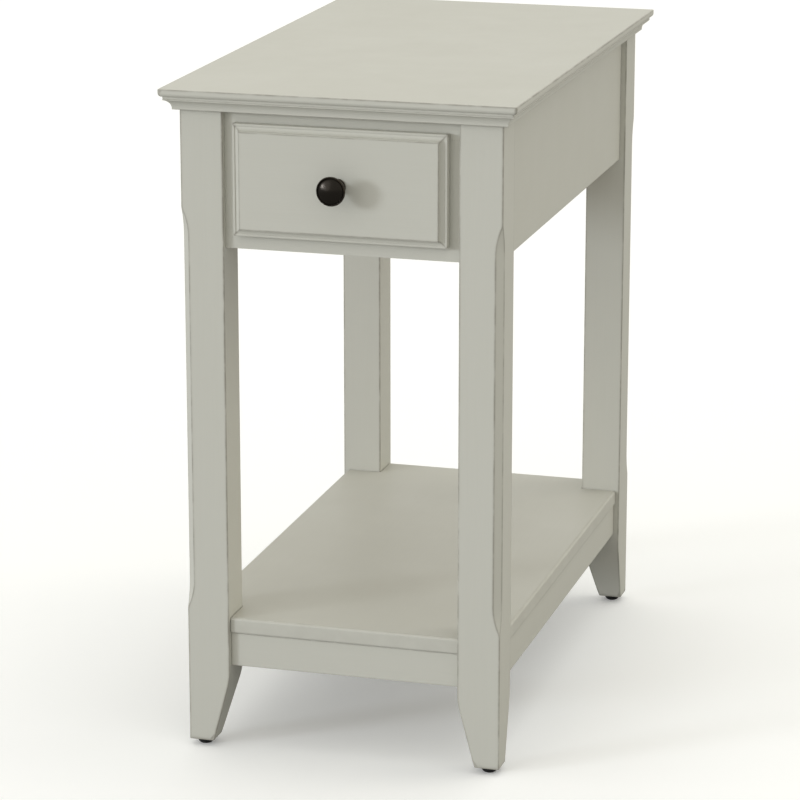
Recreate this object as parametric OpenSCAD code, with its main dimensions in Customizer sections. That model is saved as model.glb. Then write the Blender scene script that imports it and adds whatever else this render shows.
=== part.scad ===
// Narrow painted side table with one drawer and a lower shelf.
// The floor is at Z = 0, the drawer faces -Y, and the whole table, knob included,
// is centred on X and Y.

/* [Overall] */
// Width across the edge of the top
table_w = 322; // [290:1:420]
// Depth across the edge of the top, front to back
table_d = 558; // [500:1:700]
// Height from the floor to the top surface
table_h = 610; // [500:1:760]

/* [Top] */
// Overhang of the top beyond the outer faces of the legs
top_overhang = 15; // [13:0.5:24]
// Thickness of the top panel
top_t = 9; // [7:0.5:18]
// Radius of the quarter round under the flat edge of the top panel
nose_r = 3.5; // [2:0.1:3.9]
// Height of the small fillet under the quarter round
nose_fillet_h = 2; // [1:0.1:3]
// Height of the mitred frame under the top panel
frame_h = 10; // [9:0.5:16]
// Width of the mitred frame, measured from its widest edge
frame_w = 50; // [40:1:70]
// Radius of the cove along the frame
cove_r = 8; // [6:0.5:10]
// Projection of the foot of the cove beyond the legs
cove_foot = 5.2; // [3:0.1:8]
// Height of the plain fillet at the foot of the cove
cove_fillet = 1; // [0.6:0.1:2]

/* [Legs] */
// Width of a square leg
leg_w = 39; // [34:0.5:60]
// Width of the foot at the floor end of the leg
foot_w = 23; // [16:0.5:32]
// Radius of the curve where the inner faces start to taper
foot_curve_r = 67; // [30:1:120]
// Gap between the lower rails and the start of the taper
taper_gap = 4; // [0:0.5:12]
// Width of the stopped chamfer on the outer corner, along each face
chamfer = 6.5; // [3:0.5:9]
// Length of the curved run-out at each end of the chamfer
chamfer_run = 27; // [15:1:40]
// Height of the lower end of the chamfer above the shelf
chamfer_low = 7; // [2:1:60]
// Height of the upper end of the chamfer above the foot of the side panels
chamfer_high = 36; // [10:1:80]

/* [Glides] */
// Diameter of a glide
glide_d = 15; // [12:0.5:20]
// Height of a glide
glide_h = 6; // [4:0.5:9]
// Diameter of the flat that stands on the floor
glide_flat_d = 7; // [5:0.5:10]
// Diameter of the glide's nail
nail_d = 2.4; // [2:0.1:3]
// Length of the nail inside the leg
nail_len = 16; // [10:1:25]

/* [Case panels] */
// Height of the side and back panels of the drawer case
case_h = 123; // [118:1:170]
// Thickness of the side and back panels
panel_t = 15; // [12:0.5:18]
// Set-back of the side and back panels and rails from the outer faces of the legs
panel_inset = 5.5; // [2:0.5:8]

/* [Face frame] */
// Thickness of the face frame
face_t = 15; // [12:0.5:18]
// Set-back of the face frame and front rail from the front of the legs
face_inset = 6; // [3:0.5:8]
// Width of each stile
stile_w = 16; // [14:0.5:24]
// Height of the rail above the drawer opening
face_top_h = 16; // [12:0.5:20]
// Height of the rail below the drawer opening
face_low_h = 19; // [12:0.5:24]

/* [Shelf] */
// Height of the shelf's upper face above the floor
shelf_z = 125; // [110:1:220]
// Thickness of the shelf
shelf_t = 15; // [12:0.5:20]
// Set-back of the shelf's edge from the outer faces of the legs
shelf_inset = 4; // [2:0.5:5]
// Radius of the eased edge of the shelf
shelf_ease = 2.5; // [1:0.5:4]
// Clearance of the shelf's notches round the legs
notch_gap = 0.5; // [0.2:0.1:1]
// Height of the rails under the shelf
rail_h = 31; // [29:0.5:45]
// Thickness of the rails under the shelf
rail_t = 15; // [12:0.5:18]

/* [Drawer front] */
// Overlap of the drawer front on the face frame, on every side
front_overlap = 6; // [3:0.5:8]
// Thickness of the drawer front
front_t = 12; // [10:0.5:18]
// Gap between the closed drawer front and the face frame
front_gap = 0.8; // [0.5:0.1:2]
// Width of the moulded edge of the drawer front
edge_w = 6.8; // [6.8:0.1:9]
// Drop of the small step at the inner side of the moulded edge
edge_step = 0.9; // [0.5:0.1:1.5]
// Radius of the hollow of the moulded edge
hollow_r = 4.2; // [3:0.1:4.4]
// Width of the raised lip round the drawer front
lip_w = 2.1; // [1.2:0.1:2.4]
// Height of that lip above the bottom of the hollow
lip_rise = 0.7; // [0.3:0.1:1.2]

/* [Drawer box] */
// Length of the drawer box, front to back
box_len = 392; // [340:1:410]
// Thickness of the sides, the front and the back of the box
box_t = 12; // [10:0.5:15]
// Clearance between the box and the opening, below it and above it
box_gap = 8; // [6:0.5:12]
// Thickness of the drawer bottom
bottom_t = 4; // [3:0.5:6]
// Depth of the groove that holds the drawer bottom
groove = 5; // [4:0.5:6]
// Height of the groove above the lower edge of the sides
groove_z = 8; // [6:0.5:12]
// Clearance of the drawer bottom in its groove
groove_gap = 0.2; // [0.1:0.05:0.4]

/* [Knob] */
// Diameter of the knob
knob_d = 26; // [20:0.5:36]
// Projection of the knob from the drawer front
knob_len = 25; // [20:0.5:30]
// Thickness of the head of the knob at its rim
knob_rim = 4; // [3:0.5:6]
// Diameter of the neck
neck_d = 9; // [8:0.5:14]
// Diameter of the base against the drawer front
base_d = 15; // [11:0.5:18]
// Diameter of the knob's screw
knob_screw_d = 4; // [3:0.5:5]

/* [Slides] */
// Room for one slide between the drawer box and the opening
slide_room = 12.5; // [12:0.1:13.5]
// Length of the case member
slide_len = 400; // [350:1:420]
// Travel of the drawer
travel = 300; // [200:1:300]
// Thickness of the sheet steel
sheet = 1.2; // [1:0.1:1.5]
// Height of the channel of the case member
channel_h = 28; // [27:0.5:32]
// Width of the channel's flanges
channel_w = 9.5; // [9:0.1:10]
// Height of the channel above the foot of the drawer opening
channel_lift = 2; // [1:0.5:4]
// Height of the drawer member's flange above the foot of the channel
flange_z = 20; // [19:0.5:21]
// Diameter of the roller on the case member
case_roller_d = 18; // [16:0.5:18]
// Width of every roller
roller_w = 7; // [5:0.5:7.2]
// Clearance between a roller and the steel that it runs on
roller_gap = 0.3; // [0.2:0.05:0.5]
// Diameter of the roller pins
pin_d = 5; // [4:0.5:6]
// Height of the wooden supports that carry the slides
support_h = 40; // [36:1:60]

/* [Fasteners] */
// Diameter of the glued dowels
dowel_d = 8; // [6:0.5:8]
// Length of the glued dowels
dowel_len = 36; // [24:1:38]
// Diameter of the dowels in the drawer box
box_dowel_d = 5; // [4:0.5:6]
// Radial clearance of dowels, screws and nails in their holes
hole_gap = 0.05; // [0.02:0.01:0.1]
// Diameter of the wood screws
screw_d = 4; // [3:0.5:4.5]
// Diameter of the small screws in the slides
small_screw_d = 3; // [2.5:0.5:3.5]
// Size of the square cleats that hold the top
cleat = 18; // [15:1:22]

/* [Hidden] */

paint = "#d8d5c6";
bare_wood = "#cdb68c";
steel = "#e6e6e2";
black = "#26221f";
$fn = 64;

// Half sizes over the outer faces of the legs.
half_w = table_w / 2 - top_overhang;
half_d = table_d / 2 - top_overhang;
// Clear half sizes between the legs.
inner_w = half_w - leg_w;
inner_d = half_d - leg_w;
leg_z = glide_h;
leg_top = table_h - top_t - frame_h;
case_z = leg_top - case_h;
rail_top = shelf_z - shelf_t;
rail_z = rail_top - rail_h;
taper_z = rail_z - taper_gap;

// The drawer opening in the face frame.
open_w = 2 * (inner_w - stile_w);
open_z = case_z + face_low_h;
open_top = leg_top - face_top_h;
open_h = open_top - open_z;
open_mid = (open_z + open_top) / 2;
face_y = -half_d + face_inset;
face_back = face_y + face_t;
panel_x = half_w - panel_inset;
panel_y = half_d - panel_inset;

// The drawer, closed.
front_back = face_y - front_gap;
front_y = front_back - front_t;
front_w = open_w + 2 * front_overlap;
front_h = open_h + 2 * front_overlap;
box_w = open_w - 2 * slide_room;
box_z = open_z + box_gap;
box_h = open_h - 2 * box_gap;
box_end = front_back + box_len;

// The slides. Sections are drawn with X measured inward from the wooden support.
channel_z = open_z + channel_lift;
channel_inset = 2;
channel_y = face_y + channel_inset;
drawer_roller_d = channel_h - 2 * sheet - 2 * roller_gap;
roller_x = 2;
roller_inset = 3;
roller_end_gap = 1;
case_roller_y = channel_y + case_roller_d / 2 + roller_inset;
case_roller_z = channel_z + flange_z - roller_gap - case_roller_d / 2;
drawer_roller_y = box_end - drawer_roller_d / 2 - roller_end_gap;
drawer_roller_z = channel_z + channel_h / 2;
flange_end = drawer_roller_y - drawer_roller_d / 2 - roller_end_gap;
stop_drop = 4;
stop_reach = sqrt(pow(drawer_roller_d / 2, 2)
                  - pow(channel_h / 2 - sheet - stop_drop, 2)) + roller_gap;
stop_y = drawer_roller_y - travel - stop_reach - sheet;
flange_x = 3;
member_y = front_back + box_t + 2;
pin_play = 0.1;
pin_head = 1;
pin_head_d = pin_d + 2;

// The cleats under the top, and the wooden supports of the slides.
cleat_end_gap = 30;
cleat_len = 2 * (inner_d - cleat_end_gap);
cleat_bite = 10;
support_gap = 0.5;
support_mid = channel_z + channel_h / 2;
support_y0 = face_back + support_gap;
support_y1 = panel_y - panel_t - support_gap;
support_x = open_w / 2;
support_bite = 14;

// Centres the table and its knob on Y.
y_shift = (-front_y + knob_len - table_d / 2) / 2;

// Heads of the wood screws and the places of the dowels and screws.
head_d = 2 * screw_d;
head_h = screw_d / 2;
small_head_h = 1.6;
low_head_h = 1;
front_head_h = 2;
knob_head_h = 2.4;
screw_end_gap = 1;
counterbore_gap = 0.3;
dowel_edge = 30;
rail_dowel_pitch = 15;
half_dowel = dowel_len / 2;
case_dowel_z = [case_z + dowel_edge, leg_top - dowel_edge];
rail_dowel_z = [for (s = [-1, 1]) (rail_z + rail_top) / 2 + s * rail_dowel_pitch / 2];
face_dowel_z = [case_z + face_low_h / 2, leg_top - face_top_h / 2];
cleat_screw_y = [-150, 150];
top_screw_y = [-115, 185];
shelf_screw_y = [-120, 120];
shelf_screw_len = 30;
shelf_screw_depth = 12;
shelf_head_h = 2;
top_screw_cover = 4;
top_screw_len = cleat + frame_h + top_t - top_screw_cover;
support_screw_y = 10;
support_screw_z = 12;
slide_screw_y = [60, 330];
case_screw_len = stile_w - 3;
front_screw_x = 45;
front_screw_cover = 3;
knob_screw_bite = 12;
knob_screw_len = box_t + front_t + knob_screw_bite;
box_dowel_len = 24;
box_dowel_edge = 16;

// The turned knob: base, sweep under the head and low dome.
base_h = 2.2;
sweep_h = 6;
sweep_r = 5;
dome_h = 3;

bore = 0.01;
curve_sink = 0.03;

// Moves a shape from the table's own centre to the centre of the whole outline.
module at_table() translate([0, y_shift, 0]) children();

// side is 1 for the right-hand piece and -1 for the left-hand one.
module on_side(side) at_table() mirror([side < 0 ? 1 : 0, 0, 0]) children();

// Places a piece that is drawn inward from the outer corner of a leg.
module at_corner(sx, sy) at_table() translate([sx * half_w, sy * half_d, 0])
    mirror([sx > 0 ? 1 : 0, 0, 0]) mirror([0, sy > 0 ? 1 : 0, 0]) children();

// Draws a section in X and Z and runs it along Y from y0 to y1.
module along_y(y0, y1) translate([0, y1, 0]) rotate([90, 0, 0]) linear_extrude(y1 - y0) children();

// Draws a section in Y and Z and runs it along X from x0 to x1.
module along_x(x0, x1) translate([x0, 0, 0]) rotate([90, 0, 90]) linear_extrude(x1 - x0) children();

// Rods along each axis, from a start point.
module rod_x(from, d, len) translate(from) rotate([0, 90, 0]) cylinder(d = d, h = len);
module rod_y(from, d, len) translate(from) rotate([-90, 0, 0]) cylinder(d = d, h = len);
module rod_z(from, d, len) translate(from) cylinder(d = d, h = len);

// A countersunk screw whose head is flush with Z = 0 and whose point is above it.
module wood_screw(len) rotate_extrude() polygon([
    [0, 0], [head_d / 2, 0], [screw_d / 2, head_h], [screw_d / 2, len - screw_d], [0, len]]);

// The hole for that screw, a hair wider.
module screw_hole(len) rotate_extrude() polygon([
    [0, -bore], [head_d / 2 + hole_gap, -bore], [head_d / 2 + hole_gap, 0],
    [screw_d / 2 + hole_gap, head_h], [screw_d / 2 + hole_gap, len], [0, len]]);

// A small pan-head screw, with the underside of its head at Z = 0.
module pan_screw(d, len, head) {
    cylinder(d = d, h = len);
    translate([0, 0, -head]) cylinder(d = 2 * d, h = head);
}

// ---------------------------------------------------------------- top

// Half section of the top panel: its reach from the centre line and its height.
// A flat edge leads down into a quarter round and a small fillet.
module panel_section(half) {
    z0 = table_h - top_t;
    reach = half - nose_r;
    round_z = z0 + nose_fillet_h + nose_r;
    difference() {
        translate([-half, z0]) square([2 * half, top_t]);
        for (s = [-1, 1]) {
            translate([s * (reach + half) - half, z0]) square([2 * half, nose_fillet_h]);
            difference() {
                translate([s * (reach + half) - half, z0]) square([2 * half, round_z - z0]);
                translate([s * reach, round_z]) circle(r = nose_r);
            }
        }
    }
}

module top_panel() color(paint) at_table() difference() {
    intersection() {
        along_y(-table_d / 2, table_d / 2) panel_section(table_w / 2);
        along_x(-table_w / 2, table_w / 2) panel_section(table_d / 2);
    }
    top_screw_places() screw_hole(top_screw_len);
}

// Section of the mitred frame, drawn from the outer face of the legs outward.
module cove_section() {
    head = top_overhang - nose_r;
    difference() {
        translate([head - frame_w, leg_top]) square([frame_w, frame_h]);
        translate([cove_foot + cove_r, leg_top + cove_fillet]) circle(r = cove_r);
        translate([cove_foot, leg_top - cove_fillet]) square([cove_r, 2 * cove_fillet]);
    }
}

// One stick of the frame along X, half_l long to the legs' faces, mitred at both ends.
module frame_stick(half_l, half_across) {
    reach = half_l + top_overhang;
    inner = frame_w + top_overhang;
    intersection() {
        along_x(-reach, reach) translate([half_across, 0]) cove_section();
        linear_extrude(table_h) polygon([
            [-reach, half_across + top_overhang], [reach, half_across + top_overhang],
            [reach - inner, half_across + top_overhang - inner],
            [-reach + inner, half_across + top_overhang - inner]]);
    }
}

// Holes for the screws that go up from the cleats.
module top_screw_places() for (x = [-1, 1], y = top_screw_y)
    translate([x * (panel_x - panel_t - cleat / 2), y, leg_top - cleat]) children();

module top_frame_front() color(paint) at_table() mirror([0, 1, 0]) frame_stick(half_w, half_d);
module top_frame_back() color(paint) at_table() frame_stick(half_w, half_d);

module top_frame_side(side) color(paint) at_table() difference() {
    mirror([side < 0 ? 1 : 0, 0, 0]) rotate([0, 0, -90]) frame_stick(half_d, half_w);
    top_screw_places() screw_hole(top_screw_len);
}

module top_frame_left() top_frame_side(-1);
module top_frame_right() top_frame_side(1);

// ---------------------------------------------------------------- legs

// Inner outline of a leg: a straight post, a curve, then a straight taper to the foot.
module leg_section() {
    curve_x = leg_w - foot_curve_r;
    to_foot = [foot_w - curve_x, leg_z - taper_z];
    turn = atan2(to_foot[1], to_foot[0]) + acos(foot_curve_r / norm(to_foot));
    // The taper ends a hair inside the curve, so that the two cross.
    end_r = foot_curve_r - curve_sink;
    translate([0, taper_z]) square([leg_w, leg_top - taper_z]);
    polygon([[0, leg_z], [foot_w, leg_z],
             [curve_x + end_r * cos(turn), taper_z + end_r * sin(turn)], [0, taper_z]]);
    intersection() {
        translate([curve_x, taper_z]) circle(r = foot_curve_r, $fn = 180);
        translate([0, leg_z]) square([leg_w, taper_z - leg_z]);
    }
}

// Section of the stopped chamfer, along the diagonal of the leg and up it.
module chamfer_section() {
    depth = chamfer / sqrt(2);
    end_r = (pow(chamfer_run, 2) + pow(depth, 2)) / (2 * depth);
    low = shelf_z + chamfer_low + chamfer_run;
    high = case_z + chamfer_high - chamfer_run;
    translate([-end_r, low]) square([end_r + depth, high - low]);
    intersection() {
        for (z = [low, high]) translate([depth - end_r, z]) circle(r = end_r, $fn = 180);
        translate([-end_r, low - 2 * chamfer_run]) square([end_r + depth, high - low + 4 * chamfer_run]);
    }
}

module leg_post() difference() {
    intersection() {
        along_y(0, leg_w) leg_section();
        along_x(0, leg_w) leg_section();
    }
    rotate([0, 0, 45]) along_y(-leg_w, leg_w) chamfer_section();
    rod_z([foot_w / 2, foot_w / 2, leg_z - bore], nail_d + 2 * hole_gap, nail_len + bore);
    // Sockets for the dowels of the side panel and the side rail.
    for (z = concat(case_dowel_z, rail_dowel_z))
        rod_y([panel_inset + panel_t / 2, leg_w - half_dowel, z], dowel_d + 2 * hole_gap, half_dowel + bore);
}

// Sockets across the table, at the depth of the panel or rail that they hold.
module cross_sockets(zs, depth) for (z = zs)
    rod_x([leg_w - half_dowel, depth, z], dowel_d + 2 * hole_gap, half_dowel + bore);

module front_leg(side) color(paint) at_corner(side, -1) difference() {
    leg_post();
    cross_sockets(face_dowel_z, face_inset + face_t / 2);
    cross_sockets(rail_dowel_z, face_inset + rail_t / 2);
    // Screws of the slide support.
    for (z = [-1, 1]) translate([leg_w, face_inset + face_t + support_screw_y,
                                 support_mid + z * support_screw_z])
        rotate([0, -90, 0]) cylinder(d = screw_d + 2 * hole_gap, h = support_bite);
}

module back_leg(side) color(paint) at_corner(side, 1) difference() {
    leg_post();
    cross_sockets(case_dowel_z, panel_inset + panel_t / 2);
    cross_sockets(rail_dowel_z, panel_inset + rail_t / 2);
    for (z = [-1, 1]) translate([leg_w, panel_inset + panel_t + support_screw_y,
                                 support_mid + z * support_screw_z])
        rotate([0, -90, 0]) cylinder(d = screw_d + 2 * hole_gap, h = support_bite);
}

module leg_front_left() front_leg(-1);
module leg_front_right() front_leg(1);
module leg_back_left() back_leg(-1);
module leg_back_right() back_leg(1);

// A nail-on glide: a domed button with its nail.
module glide() {
    dome_r = (glide_d - glide_flat_d) / 2;
    rotate_extrude() {
        square([glide_flat_d / 2, glide_h]);
        translate([0, dome_r]) square([glide_d / 2, glide_h - dome_r]);
        intersection() {
            translate([glide_flat_d / 2, dome_r]) circle(r = dome_r);
            square([glide_d / 2, dome_r]);
        }
    }
    translate([0, 0, glide_h]) cylinder(d = nail_d, h = nail_len - screw_end_gap);
}

module glides() color(black) for (sx = [-1, 1], sy = [-1, 1])
    at_corner(sx, sy) translate([foot_w / 2, foot_w / 2, 0]) glide();

// ---------------------------------------------------------------- drawer case

module panel_board(x, y, z, size) translate([x, y, z]) cube(size);

module side_panel(side) color(paint) on_side(side) difference() {
    panel_board(panel_x - panel_t, -inner_d, case_z, [panel_t, 2 * inner_d, case_h]);
    for (s = [-1, 1], z = case_dowel_z)
        rod_y([panel_x - panel_t / 2, s * inner_d - half_dowel, z], dowel_d + 2 * hole_gap, dowel_len);
    for (y = cleat_screw_y) translate([panel_x - panel_t, y, leg_top - cleat / 2]) rotate([0, 90, 0])
        cylinder(d = screw_d + 2 * hole_gap, h = cleat_bite);
}

module side_panel_left() side_panel(-1);
module side_panel_right() side_panel(1);

module back_panel() color(paint) at_table() difference() {
    panel_board(-inner_w, panel_y - panel_t, case_z, [2 * inner_w, panel_t, case_h]);
    for (s = [-1, 1], z = case_dowel_z)
        rod_x([s * inner_w - half_dowel, panel_y - panel_t / 2, z], dowel_d + 2 * hole_gap, dowel_len);
}

module face_rail(z, h) color(paint) at_table() difference() {
    panel_board(-inner_w, face_y, z, [2 * inner_w, face_t, h]);
    for (s = [-1, 1])
        rod_x([s * inner_w - half_dowel, face_y + face_t / 2, z + h / 2], dowel_d + 2 * hole_gap, dowel_len);
}

module face_rail_top() face_rail(open_top, face_top_h);
module face_rail_bottom() face_rail(case_z, face_low_h);

module face_stile(side) color(paint) on_side(side)
    panel_board(inner_w - stile_w, face_y, open_z, [stile_w, face_t, open_h]);
module face_stile_left() face_stile(-1);
module face_stile_right() face_stile(1);

// Dowels between the case and the legs.
module case_dowels() color(bare_wood) at_table() for (s = [-1, 1]) {
    for (t = [-1, 1], z = case_dowel_z)
        rod_y([s * (panel_x - panel_t / 2), t * inner_d - half_dowel, z], dowel_d, dowel_len);
    for (z = case_dowel_z) rod_x([s * inner_w - half_dowel, panel_y - panel_t / 2, z], dowel_d, dowel_len);
    for (z = face_dowel_z) rod_x([s * inner_w - half_dowel, face_y + face_t / 2, z], dowel_d, dowel_len);
}

// ---------------------------------------------------------------- cleats and supports

module cleat_screw_places(side) for (y = cleat_screw_y)
    translate([panel_x - panel_t - cleat, y, leg_top - cleat / 2]) rotate([0, 90, 0]) children();

module top_cleat(side) color(bare_wood) difference() {
    on_side(side) difference() {
        panel_board(panel_x - panel_t - cleat, -cleat_len / 2, leg_top - cleat, [cleat, cleat_len, cleat]);
        cleat_screw_places() screw_hole(cleat + cleat_bite);
    }
    at_table() top_screw_places() screw_hole(top_screw_len);
}

module top_cleat_left() top_cleat(-1);
module top_cleat_right() top_cleat(1);

module cleat_screws() color(steel) for (side = [-1, 1])
    on_side(side) cleat_screw_places() wood_screw(cleat + cleat_bite);

module top_screws() color(steel) at_table() top_screw_places() wood_screw(top_screw_len);

// Wooden supports that carry the slides, screwed to the inner faces of the legs.
module support_screw_places() for (y = [face_back + support_screw_y, panel_y - panel_t - support_screw_y],
                                   z = [-1, 1])
    translate([support_x, y, support_mid + z * support_screw_z]) rotate([0, 90, 0]) children();

// Places of the small screws in the case members.
module case_slide_screw_places() for (y = slide_screw_y)
    translate([support_x - sheet, channel_y + y, support_mid]) rotate([0, 90, 0]) children();

module slide_support(side) color(bare_wood) on_side(side) difference() {
    panel_board(support_x, support_y0, support_mid - support_h / 2,
                [stile_w, support_y1 - support_y0, support_h]);
    support_screw_places() screw_hole(stile_w + screw_end_gap);
    case_slide_screw_places() cylinder(d = small_screw_d + 2 * hole_gap, h = stile_w);
}

module slide_support_left() slide_support(-1);
module slide_support_right() slide_support(1);

module support_screws() color(steel) for (side = [-1, 1])
    on_side(side) support_screw_places() wood_screw(stile_w + support_bite - screw_end_gap);

// ---------------------------------------------------------------- shelf

module shelf_section(half) {
    r = shelf_ease;
    translate([-half + r, rail_top]) square([2 * (half - r), shelf_t]);
    translate([-half, rail_top + r]) square([2 * half, shelf_t - 2 * r]);
    for (s = [-1, 1], z = [rail_top + r, shelf_z - r]) translate([s * (half - r), z]) circle(r = r);
}

// Screws that go up through the side rails into the shelf.
module shelf_screw_places() for (x = [-1, 1], y = shelf_screw_y)
    translate([x * (panel_x - rail_t / 2), y, rail_z + shelf_screw_depth]) children();

module shelf() color(paint) at_table() difference() {
    intersection() {
        along_y(-half_d + shelf_inset, half_d - shelf_inset) shelf_section(half_w - shelf_inset);
        along_x(-half_w + shelf_inset, half_w - shelf_inset) shelf_section(half_d - shelf_inset);
    }
    for (sx = [-1, 1], sy = [-1, 1]) translate([sx * half_w, sy * half_d, shelf_z])
        cube([2 * (leg_w + notch_gap), 2 * (leg_w + notch_gap), 3 * shelf_t], center = true);
    shelf_screw_places() cylinder(d = screw_d + 2 * hole_gap, h = shelf_screw_len);
}

module rail_across(y) color(paint) at_table() difference() {
    panel_board(-inner_w, y, rail_z, [2 * inner_w, rail_t, rail_h]);
    for (s = [-1, 1], z = rail_dowel_z)
        rod_x([s * inner_w - half_dowel, y + rail_t / 2, z], dowel_d + 2 * hole_gap, dowel_len);
}

module shelf_rail_front() rail_across(face_y);
module shelf_rail_back() rail_across(panel_y - rail_t);

module shelf_rail_side(side) color(paint) difference() {
    on_side(side) panel_board(panel_x - rail_t, -inner_d, rail_z, [rail_t, 2 * inner_d, rail_h]);
    on_side(side) for (s = [-1, 1], z = rail_dowel_z)
        rod_y([panel_x - rail_t / 2, s * inner_d - half_dowel, z], dowel_d + 2 * hole_gap, dowel_len);
    at_table() shelf_screw_places() {
        cylinder(d = screw_d + 2 * hole_gap, h = shelf_screw_len);
        translate([0, 0, -shelf_screw_depth - bore]) 
            cylinder(d = head_d + 2 * counterbore_gap, h = shelf_screw_depth + bore);
    }
}

module shelf_rail_left() shelf_rail_side(-1);
module shelf_rail_right() shelf_rail_side(1);

module rail_dowels() color(bare_wood) at_table() for (s = [-1, 1], z = rail_dowel_z) {
    for (t = [-1, 1])
        rod_y([s * (panel_x - rail_t / 2), t * inner_d - half_dowel, z], dowel_d, dowel_len);
    for (y = [face_y + rail_t / 2, panel_y - rail_t / 2])
        rod_x([s * inner_w - half_dowel, y, z], dowel_d, dowel_len);
}

module shelf_screws() color(steel) at_table() shelf_screw_places()
    translate([0, 0, -shelf_head_h]) {
        cylinder(d = head_d, h = shelf_head_h);
        cylinder(d = screw_d, h = shelf_screw_len);
    }

// ---------------------------------------------------------------- slides

// Stands a section of a slide against its support, for one side.
module slide_run(side, y0, y1) on_side(side) translate([support_x, 0, channel_z])
    mirror([1, 0, 0]) along_y(y0, y1) children();

module channel_section() {
    square([sheet, channel_h]);
    square([channel_w, sheet]);
    translate([0, channel_h - sheet]) square([channel_w, sheet]);
}

module case_slide(side) color(steel) difference() {
    union() {
        slide_run(side, channel_y, channel_y + slide_len) channel_section();
        // Tab that stops the drawer's roller.
        slide_run(side, stop_y, stop_y + sheet)
            translate([0, channel_h - sheet - stop_drop]) square([channel_w, stop_drop + sheet]);
    }
    on_side(side) {
        case_slide_screw_places() translate([0, 0, -bore])
            cylinder(d = small_screw_d + 2 * hole_gap, h = sheet + 2 * bore);
        rod_x([support_x - sheet - bore, case_roller_y, case_roller_z], pin_d + 2 * hole_gap, sheet + 2 * bore);
    }
}

module case_slide_left() case_slide(-1);
module case_slide_right() case_slide(1);

module case_slide_screws() color(steel) for (side = [-1, 1])
    on_side(side) case_slide_screw_places() pan_screw(small_screw_d, case_screw_len, small_head_h);

module roller(d) difference() {
    cylinder(d = d, h = roller_w);
    translate([0, 0, -bore]) cylinder(d = pin_d + 2 * pin_play, h = roller_w + 2 * bore);
}

// The pin of a case roller goes from the channel through the roller and ends in a head.
module case_roller_pins() color(steel) for (side = [-1, 1]) on_side(side) {
    pin_len = roller_x + roller_w + pin_play;
    rod_x([support_x - pin_len, case_roller_y, case_roller_z], pin_d, pin_len);
    rod_x([support_x - pin_len - pin_head, case_roller_y, case_roller_z], pin_head_d, pin_head);
}

module case_roller(side) color("white") on_side(side)
    translate([support_x - roller_x, case_roller_y, case_roller_z]) rotate([0, -90, 0]) roller(case_roller_d);
module case_roller_left() case_roller(-1);
module case_roller_right() case_roller(1);

// Section of the drawer member: a web against the box, a flange outward and a lip under the box.
module drawer_member_section() {
    web_x = slide_room - sheet;
    lip_z = box_z - sheet - channel_z;
    translate([web_x, lip_z]) square([sheet, flange_z + sheet - lip_z]);
    translate([web_x, lip_z]) square([sheet + box_t / 2, sheet]);
}

module drawer_slide_screw_places() for (y = slide_screw_y)
    translate([box_w / 2 + sheet, channel_y + y, box_z + groove_z / 2]) rotate([0, -90, 0]) children();

module drawer_slide(side) color(steel) difference() {
    union() {
        slide_run(side, member_y, box_end) drawer_member_section();
        slide_run(side, member_y, flange_end)
            translate([flange_x, flange_z]) square([slide_room - flange_x, sheet]);
    }
    on_side(side) {
        drawer_slide_screw_places() translate([0, 0, -bore])
            cylinder(d = small_screw_d + 2 * hole_gap, h = sheet + 2 * bore);
        rod_x([box_w / 2 - bore, drawer_roller_y, drawer_roller_z], pin_d + 2 * hole_gap, sheet + 2 * bore);
    }
}

module drawer_slide_left() drawer_slide(-1);
module drawer_slide_right() drawer_slide(1);

module drawer_slide_screws() color(steel) for (side = [-1, 1])
    on_side(side) drawer_slide_screw_places() pan_screw(small_screw_d, box_t - screw_end_gap, low_head_h);

module drawer_roller_pins() color(steel) for (side = [-1, 1]) on_side(side) {
    pin_x = support_x - roller_x + pin_play;
    rod_x([box_w / 2, drawer_roller_y, drawer_roller_z], pin_d, pin_x - box_w / 2);
    rod_x([pin_x, drawer_roller_y, drawer_roller_z], pin_head_d, roller_x - sheet - 2 * pin_play);
}

module drawer_roller(side) color("white") on_side(side)
    translate([support_x - roller_x, drawer_roller_y, drawer_roller_z]) rotate([0, -90, 0])
        roller(drawer_roller_d);
module drawer_roller_left() drawer_roller(-1);
module drawer_roller_right() drawer_roller(1);

// ---------------------------------------------------------------- drawer

// Half section of the drawer front: reach from its centre line, and depth from its face.
// A small step and a hollow lead from the field to a raised lip at the square edge.
module front_section(half) {
    field = half - edge_w;
    hollow = half - lip_w;
    lip_y = edge_step + hollow_r - lip_rise;
    union() {
        difference() {
            translate([-half, 0]) square([2 * half, front_t]);
            for (s = [-1, 1]) {
                translate([s * (field + half) - half, 0]) square([2 * half, edge_step]);
                translate([s * hollow, edge_step]) circle(r = hollow_r);
                translate([s * (hollow + half) - half, 0]) square([2 * half, edge_step + hollow_r]);
            }
        }
        for (s = [-1, 1]) translate([s * (half - lip_w / 2) - lip_w / 2, lip_y])
            square([lip_w, front_t - lip_y]);
    }
}

module drawer_front() color(paint) at_table() difference() {
    translate([0, front_y, open_mid]) rotate([-90, 0, 0]) intersection() {
        along_front(front_h) front_section(front_w / 2);
        rotate([0, 0, 90]) along_front(front_w) front_section(front_h / 2);
    }
    rod_y([0, front_y - bore, open_mid], knob_screw_d + 2 * hole_gap, front_t + 2 * bore);
    for (x = [-1, 1])
        rod_y([x * front_screw_x, front_y + front_screw_cover, open_mid], screw_d + 2 * hole_gap, front_t);
}

// Runs a section of the front, drawn in reach and depth, along its other direction.
module along_front(len) translate([0, len / 2, 0]) rotate([90, 0, 0]) linear_extrude(len) children();

module box_bottom_slot() translate([-box_w / 2 + box_t - groove, front_back + box_t - groove,
                                    box_z + groove_z - groove_gap / 2])
    cube([box_w - 2 * box_t + 2 * groove, box_len - 2 * box_t + 2 * groove, bottom_t + groove_gap]);

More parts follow.
